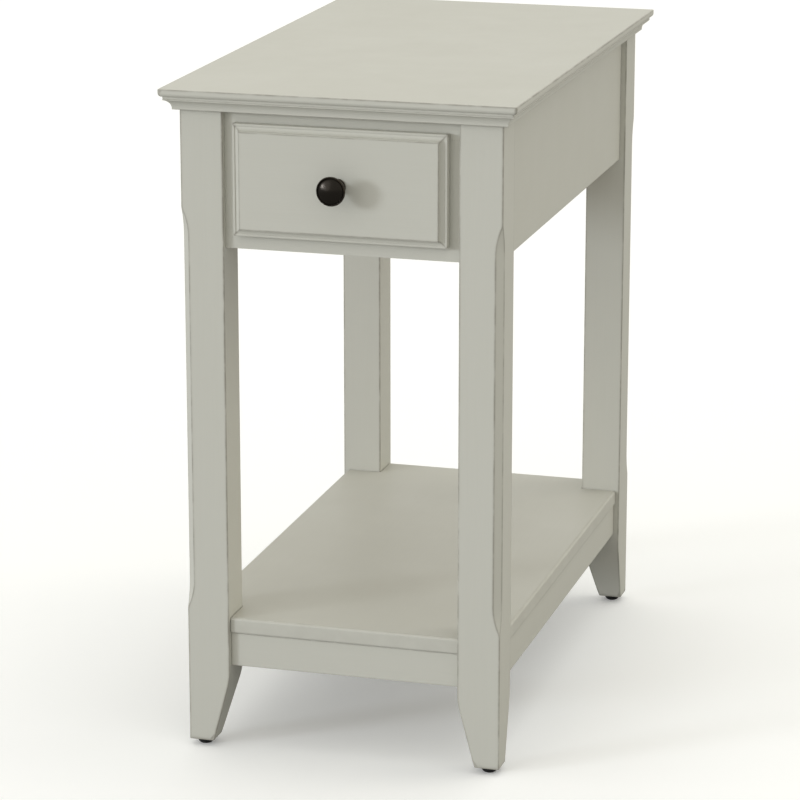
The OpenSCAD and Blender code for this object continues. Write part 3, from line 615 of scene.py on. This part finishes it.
def lathe(name, profile, centre, axis, sides):
    """Spins (radius, along, mark) round an axis. A radius of 0 at either end makes a pole."""
    side_x = Vector((1, 0, 0)) if abs(axis.x) < 0.5 else Vector((0, 1, 0))
    side_y = axis.cross(side_x)
    points, marks, rows = [], [], []
    for radius, along, mark in profile:
        row = []
        for k in range(sides if radius > 0 else 1):
            angle = 2 * math.pi * k / sides
            ray = math.cos(angle) * side_x + math.sin(angle) * side_y
            row.append(len(points))
            points.append(centre + axis * along + ray * radius)
            marks.append(mark)
        rows.append(row)
    faces = []
    closed = profile[0][0] > 0
    for i in range(len(rows) if closed else len(rows) - 1):
        low, high = rows[i], rows[(i + 1) % len(rows)]
        for k in range(sides):
            corners = [low[k % len(low)], low[(k + 1) % len(low)],
                       high[(k + 1) % len(high)], high[k % len(high)]]
            faces.append(tuple(dict.fromkeys(corners)))
    return make_piece(name, points, faces, marks)

# %% Knob
# Radius and height in millimetres: foot, neck, sweep, rim, groove and low dome.
KNOB = [(0, 0, 0), (7.1, 0, 0), (7.5, 0.4, 1), (7.5, 1.3, 1), (7.2, 1.9, 1), (6.4, 2.3, 0.4),
        (5.3, 2.7, 0.2), (4.75, 3.4, 0.1), (4.5, 4.6, 0), (4.5, 8, 0), (4.5, 11.6, 0),
        (4.6, 13, 0), (5.0, 14.3, 0), (5.9, 15.6, 0), (7.2, 16.6, 0), (8.8, 17.3, 0.1),
        (10.4, 17.75, 0.2), (11.6, 18.15, 0.4), (12.4, 18.75, 0.7), (12.85, 19.5, 1),
        (13, 20.3, 1), (12.95, 21.1, 1), (12.75, 21.65, 1), (12.4, 21.95, 1), (12.05, 21.9, 0.9),
        (11.8, 21.6, 0.4), (11.6, 21.35, 0.1), (11.4, 21.3, 0), (11.15, 21.5, 0.1),
        (10.85, 21.85, 0.3), (10.4, 22.25, 0.5), (9.7, 22.65, 0.4), (8.7, 23.1, 0.2), (7.3, 23.6, 0.1),
        (5.6, 24.12, 0.1), (4, 24.5, 0.1), (2.6, 24.8, 0.1), (1.2, 24.96, 0.1), (0, 25, 0.1)]
knob_low, knob_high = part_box("knob")
knob_seat = Vector(((knob_low.x + knob_high.x) / 2, knob_high.y, (knob_low.z + knob_high.z) / 2))
knob = lathe("turned_knob", [(r * MM, h * MM, m) for r, h, m in KNOB], knob_seat, Vector((0, -1, 0)), 72)
dress(knob, "drawer", "knob_metal", "knob")
print("knob:", len(knob.data.polygons), "faces, stands out", round((knob_high.y - knob_low.y) / MM), "mm")

# %% Rollers
ROLLER_BORE = 2.6 * MM


def roller(node):
    """A moulded roller with a hub, a sunk web and rounded rims on both faces."""
    low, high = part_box(node)
    r, wide = (high.z - low.z) / 2, high.x - low.x
    hub, rim, sink, soft = 4.4 * MM, r - 2.2 * MM, 1.1 * MM, 0.45 * MM
    half_face = [(ROLLER_BORE, 0, 0.2), (hub - 0.2 * MM, 0, 0.6), (hub, 0.2 * MM, 0.6),
                 (hub + 0.1 * MM, sink, 0), (rim - 0.1 * MM, sink, 0), (rim, 0.2 * MM, 0.6),
                 (rim + 0.2 * MM, 0, 0.6), (r - soft, 0, 0.8), (r - 0.3 * soft, 0.3 * soft, 1),
                 (r, soft, 0.8)]
    profile = half_face + [(a, wide - b, m) for a, b, m in reversed(half_face)]
    centre = Vector((low.x, (low.y + high.y) / 2, (low.z + high.z) / 2))
    return dress(lathe(node + "_wheel", profile, centre, Vector((1, 0, 0)), 48), node,
                 "roller_nylon", node)


for node in ("case_roller_left", "case_roller_right", "drawer_roller_left", "drawer_roller_right"):
    wheel = roller(node)
print("rollers:", len(wheel.data.polygons), "faces each")

# %% [markdown]
# ## Screws and glides
# Screw heads repeat, and no two come to rest at the same angle. A Geometry Nodes tree puts one head
# on each point, points it along the stored direction, and gives it a random turn from a fixed seed.
# The same tree nails the four glides under the feet. The places come from the measured screws: each
# separate solid of a node is found, and its head is at the end that faces away from the wood.

# %% The tree that places heads
place_tree, given, out = new_tree("placed_heads", "GeometryNodeTree", [
    (*SHAPE, None), ("Head", "Object", None), ("Seed", "Int", 7), ("Most turn", "Float", math.pi),
    ("Finish", "Material", None)], [SHAPE])
head = feed(place_tree, "GeometryNodeObjectInfo", {"Object": given["Head"]})["Geometry"]
way_out, head_size = [feed(place_tree, "GeometryNodeInputNamedAttribute", {"Name": label},
                           data_type="FLOAT_VECTOR")["Attribute"] for label in ("out", "size")]
aim = feed(place_tree, "FunctionNodeAlignRotationToVector", {"Vector": way_out}, axis="Z")[0]
# A random value keeps a socket for every type: number 3 takes the most, and output 1 gives the value.
angle = feed(place_tree, "FunctionNodeRandomValue", {"Seed": given["Seed"], 3: given["Most turn"]},
             data_type="FLOAT")[1]
spin = feed(place_tree, "FunctionNodeAxisAngleToRotation", {"Axis": (0, 0, 1), "Angle": angle})[0]
turned = feed(place_tree, "FunctionNodeRotateRotation", {"Rotation": aim, "Rotate By": spin},
              rotation_space="LOCAL")[0]
heads = feed(place_tree, "GeometryNodeInstanceOnPoints", {"Points": given["Geometry"], "Instance": head,
                                                          "Rotation": turned, "Scale": head_size})[0]
close_tree(place_tree, heads, given, out)

# %% Head shapes, drawn with a radius of one
HEAD_SIDES = 24
CROSS_ARM = 0.52
CROSS_HALF = 0.13


def circle_ring(radius, height):
    return [(*p, height) for p in arc((0, 0), radius, 0, 360, HEAD_SIDES)[:-1]]


def cross_ring(scale, height):
    """The outline of a cross recess, with as many points as the round rings."""
    arm, half = CROSS_ARM * scale, CROSS_HALF * scale
    quarter = [(arm, 0), (arm, half), ((arm + half) / 2, half), (half, half), (half, (arm + half) / 2),
               (half, arm)]
    ring = []
    for k in range(4):
        c, s = round(math.cos(k * math.pi / 2)), round(math.sin(k * math.pi / 2))
        ring += [(x * c - y * s, x * s + y * c, height) for x, y in quarter]
    return ring


def head_shape(name, profile, top, deep):
    """A screw head over a short shank, with a cross recess from height top down to deep."""
    rings = [circle_ring(r, h) for r, h in profile] + [cross_ring(1, top), cross_ring(0.7, deep)]
    wear = [0.0 if h < 0 else 1.0 for _, h in profile] + [1.0, 0.0]
    return loft(name, rings, [[w] * HEAD_SIDES for w in wear])


# Each head is its outline, as radius and height, with the top and the depth of its cross.
PAN = ([(0.42, -2.4), (0.42, 0), (0.96, 0), (1, 0.1), (0.98, 0.4), (0.86, 0.76), (0.66, 0.95)], 1.0, 0.25)
FLUSH = ([(0.42, -3.5), (0.42, -1.1), (0.97, -0.1), (0.99, -0.04), (0.95, 0)], 0, -0.7)


def solids_of(node):
    """(lowest, highest) corner of each separate solid of a node."""
    shape = bmesh.new()
    shape.from_mesh(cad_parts[node].data)
    bmesh.ops.remove_doubles(shape, verts=shape.verts, dist=0.001 * MM)
    left, found = set(shape.verts), []
    while left:
        stack, group = [left.pop()], []
        while stack:
            vertex = stack.pop()
            group.append(vertex.co.copy())
            beside = {e.other_vert(vertex) for e in vertex.link_edges} & left
            left -= beside
            stack += beside
        found.append((Vector([min(p[i] for p in group) for i in range(3)]),
                      Vector([max(p[i] for p in group) for i in range(3)])))
    shape.free()
    return sorted(found, key=lambda pair: tuple(round(c, 6) for c in pair[0]))


def head_points(node, out, height):
    """Seats of a node's heads. out gives the way they face; height is the head's own, or 0 if flush."""
    seats = []
    for low, high in solids_of(node):
        middle, size = (low + high) / 2, high - low
        way = out(middle)
        radius = min(size[i] for i in range(3) if abs(way[i]) < 0.5) / 2
        end = middle + Vector([way[i] * size[i] / 2 for i in range(3)])
        seats.append((end - way * height, way, (radius, radius, height or radius)))
    return seats


def place_heads(name, seats, head, body, slot_name, nodes, seed=7):
    """Runs the placing tree over the seats and dresses the result."""
    mesh = bpy.data.meshes.new(name + "_seats")
    mesh.from_pydata([tuple(p) for p, _, _ in seats], [], [])
    for label, k in (("out", 1), ("size", 2)):
        layer = mesh.attributes.new(label, "FLOAT_VECTOR", "POINT")
        layer.data.foreach_set("vector", [c for seat in seats for c in seat[k]])
    made = run_tree(link(name + "_seats", mesh), place_tree, {"Head": head, "Seed": seed}, name, (head,))
    return dress(finish_mesh(made), body, slot_name, *nodes)


def toward_middle(p):
    return Vector((-1.0 if p.x > 0 else 1.0, 0, 0))


def away_from_middle(p):
    return -toward_middle(p)


def down(p):
    return Vector((0, 0, -1.0))


def backward(p):
    return Vector((0, 1.0, 0))


# Each row names the piece, its head, body and seed; then its nodes, their way out and the heads' height.
SCREWS = (
    ("case_flush_screws", FLUSH, "table", 7, (
        ("cleat_screws", toward_middle, 0), ("top_screws", down, 0), ("support_screws", toward_middle, 0))),
    ("case_pan_screws", PAN, "table", 11, (
        ("shelf_screws", down, 2 * MM), ("case_slide_screws", toward_middle, 1.6 * MM))),
    ("drawer_pan_screws", PAN, "drawer", 23, (
        ("drawer_slide_screws", away_from_middle, 1 * MM), ("front_screws", backward, 2 * MM),
        ("knob_screw", backward, 2.4 * MM))))
for name, head, body, seed, rows in SCREWS:
    seats = [seat for row in rows for seat in head_points(*row)]
    made = place_heads(name, seats, head_shape(name + "_head", *head), body, "zinc_steel",
                       [row[0] for row in rows], seed)
    print(name, len(seats), "heads,", len(made.data.polygons), "faces")

# %% Glides
# A pressed dome on a nail: radius and height as shares of the glide's own radius and height.
GLIDE = [(0, 0, 0), (0.3, 0.0, 0.2), (0.47, 0.01, 0.4), (0.62, 0.05, 0.5), (0.76, 0.14, 0.4),
         (0.88, 0.3, 0.3), (0.96, 0.52, 0.3), (1.0, 0.8, 0.6), (0.985, 0.95, 1), (0.95, 1.0, 1),
         (0.16, 1.0, 0), (0.155, 2.6, 0), (0.05, 3.4, 0), (0, 3.5, 0)]
glide_solids = solids_of("glides")
glide_r = (glide_solids[0][1].x - glide_solids[0][0].x) / 2
glide_h = leg_low.z - glide_solids[0][0].z
glide_profile = [(r, h * glide_h / glide_r, m) for r, h, m in GLIDE]
glide = lathe("glide_shape", glide_profile, Vector(), Vector((0, 0, 1)), 40)
seats = [(Vector(((low.x + high.x) / 2, (low.y + high.y) / 2, low.z)), Vector((0, 0, 1.0)), (glide_r,) * 3)
         for low, high in glide_solids]
place_heads("foot_glides", seats, glide, "table", "glide_plastic", ("glides",))
print("glides:", len(seats), "of", round(2 * glide_r / MM, 1), "mm")

# %% [markdown]
# ## Finishes
# Several finishes share the same effects, such as rubbed edges, dust, wood grain and the fine
# texture of a sprayed film. Each effect is a node group that is built once, and every material
# places it with its own values. The shader itself stays in the material.

# %% Helpers for shader nodes


def stretch(tree, value, low, high, to_low=0.0, to_high=1.0):
    """Maps a range onto another, held at its ends."""
    return feed(tree, "ShaderNodeMapRange", {0: value, 1: low, 2: high, 3: to_low, 4: to_high})[0]


def noise(tree, vector, scale, detail, rough):
    return feed(tree, "ShaderNodeTexNoise", {"Vector": vector, "Scale": scale, "Detail": detail,
                                             "Roughness": rough})["Fac"]


def layered(tree, colour, layers):
    """Lays colours over a first one, each by its own share."""
    for share, upper in layers:
        colour = feed(tree, "ShaderNodeMix", {0: share, 6: colour, 7: upper}, data_type="RGBA")[2]
    return colour


def own_place(tree):
    return feed(tree, "ShaderNodeTexCoord", {})["Object"]


def place_group(tree, group, inputs):
    """Places a group in a material with its own values."""
    return feed(tree, "ShaderNodeGroup", inputs, node_tree=group)


print("shader helpers ready")

# %% [markdown]
# ### Edge rub and painted edge shade, dust and grain
# Hands and cloths polish the arrises, so the film there is thinner and a little darker; on the paint
# the same mask also lays a painted shade of the eased edges. Dust lies on faces that look up. Grain
# runs along a board: a noise that is squeezed across the board and drawn out along it gives lines,
# and the same idea serves bare wood and the grain that shows faintly through paint.

# %% Shared groups
# The two numbers after each noise's scale are its detail and roughness. A stretch keeps only the
# part of a noise between its two numbers, because a noise stays near its middle value.
EDGE_FALL = 5.0

# This mask darkens the paint's arrises as rub and painted edge shade; on metal it lightens them as wear.
edge_rub, given, out = new_tree("edge_rub", "ShaderNodeTree", [
    ("Amount", "Float", 0.5), ("Patch size", "Float", 90.0)], [("Mask", "Float")])
stored = feed(edge_rub, "ShaderNodeAttribute", {}, attribute_name="edge")["Fac"]
patches = noise(edge_rub, own_place(edge_rub), given["Patch size"], 3.0, 0.6)
ridge = calc(edge_rub, "POWER", stored, EDGE_FALL)
worn_and_shaded = times(edge_rub, ridge, stretch(edge_rub, patches, 0.34, 0.6, 0.3, 1.0))
set_inputs(edge_rub, out, {"Mask": times(edge_rub, worn_and_shaded, given["Amount"], True)})

dust_film, given, out = new_tree("dust_film", "ShaderNodeTree", [
    ("Amount", "Float", 0.3)], [("Mask", "Float")])
facing = feed(dust_film, "ShaderNodeNewGeometry", {})["Normal"]
upward = feed(dust_film, "ShaderNodeSeparateXYZ", {0: facing})["Z"]
drift = stretch(dust_film, noise(dust_film, own_place(dust_film), 14.0, 4.0, 0.65), 0.35, 0.7)
lying_dust = times(dust_film, stretch(dust_film, upward, 0.6, 1.0), drift)
set_inputs(dust_film, out, {"Mask": times(dust_film, lying_dust, given["Amount"], True)})

grain_lines, given, out = new_tree("grain_lines", "ShaderNodeTree", [
    ("Along", "Vector", (1, 1, 1)), ("Pore size", "Float", 900.0), ("Rings", "Float", 10.0),
    ("Ring size", "Float", 11.0)], [("Figure", "Float"), ("Pores", "Float")])
drawn_out = feed(grain_lines, "ShaderNodeVectorMath", {0: own_place(grain_lines), 1: given["Along"]},
                 operation="MULTIPLY")[0]
swell = noise(grain_lines, drawn_out, given["Ring size"], 2.0, 0.45)
ring_turns = times(grain_lines, times(grain_lines, swell, given["Rings"]), 2 * math.pi)
bands = calc(grain_lines, "SINE", ring_turns)
pores = noise(grain_lines, drawn_out, given["Pore size"], 2.0, 0.55)
set_inputs(grain_lines, out, {"Figure": stretch(grain_lines, bands, -1.0, 1.0),
                              "Pores": stretch(grain_lines, pores, 0.36, 0.66)})

sprayed_skin, given, out = new_tree("sprayed_skin", "ShaderNodeTree", [
    ("Peel size", "Float", 1100.0), ("Cloud size", "Float", 9.0)], [("Peel", "Float"), ("Cloud", "Float")])
skin_place = own_place(sprayed_skin)
set_inputs(sprayed_skin, out, {"Peel": noise(sprayed_skin, skin_place, given["Peel size"], 1.0, 0.4),
                               "Cloud": noise(sprayed_skin, skin_place, given["Cloud size"], 3.0, 0.6)})
for group in (edge_rub, dust_film, grain_lines, sprayed_skin):
    print(group.name, len(group.nodes), "nodes")

# %% [markdown]
# ### Painted wood
# The paint is a warm off-white satin lacquer over close-grained wood. Up close it is not one colour:
# it clouds slightly, the grain telegraphs through, the arrises are rubbed and carry a painted shade,
# and dust dulls the flat tops. Grain follows each board, so there is one such material for each
# direction.

# %% Paint
LONG = 0.035
ALONG = {"x": (LONG, 1, 1), "y": (1, LONG, 1), "z": (1, 1, LONG)}


def new_material(name):
    """A material with its shader; the nodes feed it."""
    material = bpy.data.materials.new(name)
    material.use_nodes = True
    tree = material.node_tree
    return material, tree, tree.nodes["Principled BSDF"]


def darker(colour, share):
    return tuple(share * c for c in colour[:3]) + (1,)


def shade(tree, shader, colour, roughness, relief, distance):
    """Joins a material's colour, roughness and relief to its shader."""
    bump = feed(tree, "ShaderNodeBump", {"Height": relief, "Distance": distance, "Strength": 1.0})
    set_inputs(tree, shader, {"Base Color": colour, "Roughness": roughness, "Normal": bump["Normal"]})


PAINT = (0.59, 0.58, 0.52, 1)
PAINT_CLOUD = (0.578, 0.568, 0.508, 1)
# The dark arris colour is partly rubbed, thinner paint and partly painted shade of the eased edges.
PAINT_RUBBED_AND_SHADED = (0.20, 0.18, 0.145, 1)
PAINT_PORE = (0.51, 0.50, 0.43, 1)
DUST = (0.60, 0.59, 0.55, 1)
CLOUD_SHARE, PORE_SHARE, FIGURE_SHARE = 0.7, 0.07, 0.03
SATIN_LOW, SATIN_HIGH = 0.36, 0.46
DUST_DULLS, RUB_SHINES = 0.5, 0.12
PEEL_RELIEF, PORE_RELIEF, PAINT_RELIEF = 0.35, 0.5, 0.035 * MM


def paint_for(direction):
    material, tree, shader = new_material("satin_paint_along_" + direction)
    skin = place_group(tree, sprayed_skin, {"Peel size": 1300.0, "Cloud size": 7.0})
    grain = place_group(tree, grain_lines, {"Along": ALONG[direction], "Pore size": 620.0, "Rings": 6.0,
                                            "Ring size": 9.0})
    # The arris mask lays the dark edge colour: partly rub, partly painted edge shade.
    rub_and_shade = place_group(tree, edge_rub, {"Amount": 0.6, "Patch size": 45.0})["Mask"]
    dust = place_group(tree, dust_film, {"Amount": 0.12})["Mask"]
    cloud = stretch(tree, skin["Cloud"], 0.35, 0.65)
    colour = layered(tree, PAINT, [(times(tree, cloud, CLOUD_SHARE), PAINT_CLOUD),
                                   (times(tree, grain["Pores"], PORE_SHARE), PAINT_PORE),
                                   (times(tree, grain["Figure"], FIGURE_SHARE), PAINT_PORE),
                                   (rub_and_shade, PAINT_RUBBED_AND_SHADED), (dust, DUST)])
    sheen = calc(tree, "ADD", stretch(tree, skin["Cloud"], 0.3, 0.7, SATIN_LOW, SATIN_HIGH),
                 times(tree, dust, DUST_DULLS))
    sheen = calc(tree, "SUBTRACT", sheen, times(tree, rub_and_shade, RUB_SHINES))
    height = calc(tree, "SUBTRACT", times(tree, skin["Peel"], PEEL_RELIEF),
                  times(tree, grain["Pores"], PORE_RELIEF))
    shade(tree, shader, colour, sheen, height, PAINT_RELIEF)
    return material


paint = {direction: paint_for(direction) for direction in "xyz"}
print("paint:", sorted(m.name for m in paint.values()))

# %% [markdown]
# ### Bare and lacquered wood
# The drawer box is pale lacquered birch, the hidden supports and cleats are plain pine, and the
# dowels are beech. They differ in colour, ring width and gloss, so one function makes them all.

# %% Woods
WOOD_RELIEF = 0.05 * MM
WOOD_SPREAD = 0.14


def wood(name, light, dark, direction, rings, pore_size, gloss, wear):
    material, tree, shader = new_material(name)
    grain = place_group(tree, grain_lines, {"Along": ALONG[direction], "Pore size": pore_size,
                                            "Rings": rings, "Ring size": 13.0})
    skin = place_group(tree, sprayed_skin, {"Peel size": 1500.0, "Cloud size": 5.0})
    rub_and_shade = place_group(tree, edge_rub, {"Amount": wear, "Patch size": 60.0})["Mask"]
    dust = place_group(tree, dust_film, {"Amount": 0.2})["Mask"]
    handled = darker(dark, 0.8)
    colour = layered(tree, light, [(times(tree, grain["Figure"], 0.55), dark),
                                   (times(tree, grain["Pores"], 0.3), dark),
                                   (stretch(tree, skin["Cloud"], 0.4, 0.7, 0, 0.25), handled),
                                   (rub_and_shade, handled), (dust, DUST)])
    rough = calc(tree, "ADD", stretch(tree, grain["Pores"], 0, 1, gloss, gloss + WOOD_SPREAD), dust)
    height = calc(tree, "SUBTRACT", times(tree, grain["Figure"], 0.3), grain["Pores"])
    shade(tree, shader, colour, rough, height, WOOD_RELIEF)
    return material


BIRCH, BIRCH_DARK = (0.62, 0.47, 0.30, 1), (0.47, 0.32, 0.18, 1)
PINE, PINE_DARK = (0.60, 0.42, 0.22, 1), (0.40, 0.23, 0.09, 1)
BEECH, BEECH_DARK = (0.58, 0.40, 0.25, 1), (0.42, 0.26, 0.14, 1)
birch = {d: wood("lacquered_birch_along_" + d, BIRCH, BIRCH_DARK, d, rings=7.0, pore_size=900.0,
                 gloss=0.34, wear=0.4) for d in "xy"}
pine = wood("planed_pine", PINE, PINE_DARK, "y", rings=14.0, pore_size=700.0, gloss=0.55, wear=0.3)
beech = wood("beech_dowel", BEECH, BEECH_DARK, "x", rings=5.0, pore_size=1100.0, gloss=0.6, wear=0.2)
print("woods:", sorted(m.name for m in (*birch.values(), pine, beech)))

# %% [markdown]
# ### Metals and plastics
# The knob is metal with a dark oil-rubbed finish, lighter where fingers polish its rim. The slides
# are powder coated, their rollers are nylon, the screws are zinc plated and the glides are black
# moulded plastic.

# %% Hard finishes
SPOT_DARK = 0.72
HARD_SHINES = 0.08


def hard(name, base, worn_and_shaded, metal, rough, spread, peel_size, depth, wear, dusty, spots=0.3):
    material, tree, shader = new_material(name)
    skin = place_group(tree, sprayed_skin, {"Peel size": peel_size, "Cloud size": 60.0})
    rub_and_shade = place_group(tree, edge_rub, {"Amount": wear, "Patch size": 260.0})["Mask"]
    dust = place_group(tree, dust_film, {"Amount": dusty})["Mask"]
    spotted = stretch(tree, skin["Cloud"], 0.35, 0.7, 0, spots)
    colour = layered(tree, base, [(spotted, darker(base, SPOT_DARK)), (rub_and_shade, worn_and_shaded), (dust, DUST)])
    sheen = calc(tree, "ADD", stretch(tree, skin["Cloud"], 0.3, 0.7, rough, rough + spread), dust)
    sheen = calc(tree, "SUBTRACT", sheen, times(tree, rub_and_shade, HARD_SHINES))
    shader.inputs["Metallic"].default_value = metal
    shade(tree, shader, colour, sheen, skin["Peel"], depth)
    return material


knob_metal = hard("oil_rubbed_metal", (0.030, 0.026, 0.022, 1), (0.10, 0.075, 0.05, 1), metal=1.0,
                  rough=0.2, spread=0.12, peel_size=900.0, depth=0.012 * MM, wear=0.35, dusty=0.04)
glide_plastic = hard("black_glide", (0.012, 0.012, 0.012, 1), (0.05, 0.05, 0.05, 1), metal=0.0,
                     rough=0.24, spread=0.14, peel_size=700.0, depth=0.02 * MM, wear=0.4, dusty=0.0)
epoxy = hard("powder_coated_steel", (0.76, 0.75, 0.70, 1), (0.55, 0.54, 0.50, 1), metal=0.0,
             rough=0.34, spread=0.12, peel_size=650.0, depth=0.06 * MM, wear=0.5, dusty=0.15)
nylon = hard("roller_nylon", (0.80, 0.79, 0.74, 1), (0.62, 0.60, 0.54, 1), metal=0.0,
             rough=0.38, spread=0.1, peel_size=800.0, depth=0.02 * MM, wear=0.35, dusty=0.1)
zinc = hard("plated_steel", (0.60, 0.60, 0.57, 1), (0.74, 0.74, 0.72, 1), metal=1.0, rough=0.26,
            spread=0.16, peel_size=1200.0, depth=0.01 * MM, wear=0.5, dusty=0.05, spots=0.5)
print("hard finishes:", [m.name for m in (knob_metal, glide_plastic, epoxy, nylon, zinc)])

# %% [markdown]
# ### Giving each piece its finish
# The paint and the lacquered wood follow the length of each board. The measured slides, pins and
# dowels are shown as they are, so only their finish changes.

# %% Finishes on pieces
FINISH_BY_START = (
    (paint["x"], ("cove_front", "cove_back", "face_rail", "back_panel", "shelf_rail_front",
                  "shelf_rail_back", "drawer_front")),
    (paint["y"], ("top_board", "cove_", "side_panel", "shelf")), (paint["z"], ("leg_", "face_stile")),
    (pine, ("top_cleat", "slide_support")), (birch["x"], ("box_front", "box_back")),
    (birch["y"], "box_"), (knob_metal, "turned_knob"), (glide_plastic, "foot_glides"))
FINISH_BY_WORD = (("dowels", beech), ("_pins", zinc), ("screws", zinc), ("wheel", nylon), ("slide", epoxy))


def finish_for(name):
    """The material of a piece or node, by a word in its name or by how its name starts."""
    for word, material in FINISH_BY_WORD:
        if word in name and not name.startswith("slide_support"):
            return material
    for material, starts in FINISH_BY_START:
        if name.startswith(starts):
            return material
    raise ValueError("no finish for " + name)


dressed = {}
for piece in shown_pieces():
    material = finish_for(piece.name)
    if not piece.material_slots:
        piece.data.materials.append(material)
    for piece_slot in piece.material_slots:
        piece_slot.material = material
    dressed.setdefault(material.name, []).append(piece.name)
for name in sorted(dressed):
    print(name, len(dressed[name]))

# %% [markdown]
# ## Floor and light
# The table stands on a wide pale floor in soft studio light. The white room gives most of it. A low
# key from the left throws the knob's soft shadow, a warmer fill from behind on the right keeps the
# side faces open, and a weak panel overhead makes the top the brightest face. The floor is darker for
# bounced light than for the eye, so that it doesn't light the uprights from below, and it shows
# nothing from underneath, so that the table can be seen from there.

# %% Floor
FLOOR_HALF = 30.0
FLOOR_Z = -0.05 * MM
FLOOR_SEEN = (0.93, 0.93, 0.93, 1)
FLOOR_BOUNCED = (0.4, 0.4, 0.4, 1)
FLOOR_GLOW = 0.14

floor_mesh = bpy.data.meshes.new("studio_floor")
floor_mesh.from_pydata([(x * FLOOR_HALF, y * FLOOR_HALF, FLOOR_Z)
                        for x, y in ((-1, -1), (1, -1), (1, 1), (-1, 1))], [], [(0, 1, 2, 3)])
floor = link("studio_floor", floor_mesh)
floor_paint, floor_tree, floor_shader = new_material("studio_floor_paint")
seen = feed(floor_tree, "ShaderNodeLightPath", {})["Is Camera Ray"]
below = feed(floor_tree, "ShaderNodeNewGeometry", {})["Backfacing"]
set_inputs(floor_tree, floor_shader, {
    "Base Color": layered(floor_tree, FLOOR_BOUNCED, [(seen, FLOOR_SEEN)]),
    "Emission Strength": times(floor_tree, seen, FLOOR_GLOW), "Emission Color": (1.0, 1.0, 1.0, 1),
    "Alpha": calc(floor_tree, "SUBTRACT", 1.0, below), "Roughness": 0.9})
floor_mesh.materials.append(floor_paint)

# %% Lights


def far_light(name, direction, spread, strength, colour):
    """A light with no falloff that comes from direction; spread in degrees softens its shadows."""
    data = bpy.data.lights.new(name, "SUN")
    data.angle = math.radians(spread)
    data.energy = strength
    data.color = colour
    lamp = bpy.data.objects.new(name, data)
    lamp.rotation_euler = (-Vector(direction)).to_track_quat("-Z", "Y").to_euler()
    bpy.context.scene.collection.objects.link(lamp)


far_light("overhead", (0.1, 0.25, 1.0), 60, 0.42, (1.0, 1.0, 0.97))
far_light("left_key", (-0.74, -0.60, 0.16), 12, 0.97, (0.86, 0.92, 1.0))
far_light("right_fill", (0.88, 0.42, 0.28), 30, 0.47, (1.0, 0.96, 0.82))
far_light("front_fill", (-0.55, -0.80, 0.35), 40, 0.34, (0.96, 0.97, 1.0))
world = bpy.data.worlds.new("studio")
world.use_nodes = True
room = world.node_tree.nodes["Background"]
set_inputs(world.node_tree, room, {"Color": (1.0, 0.995, 0.93, 1), "Strength": 0.74})
bpy.context.scene.world = world
bpy.context.scene.view_settings.view_transform = "Standard"
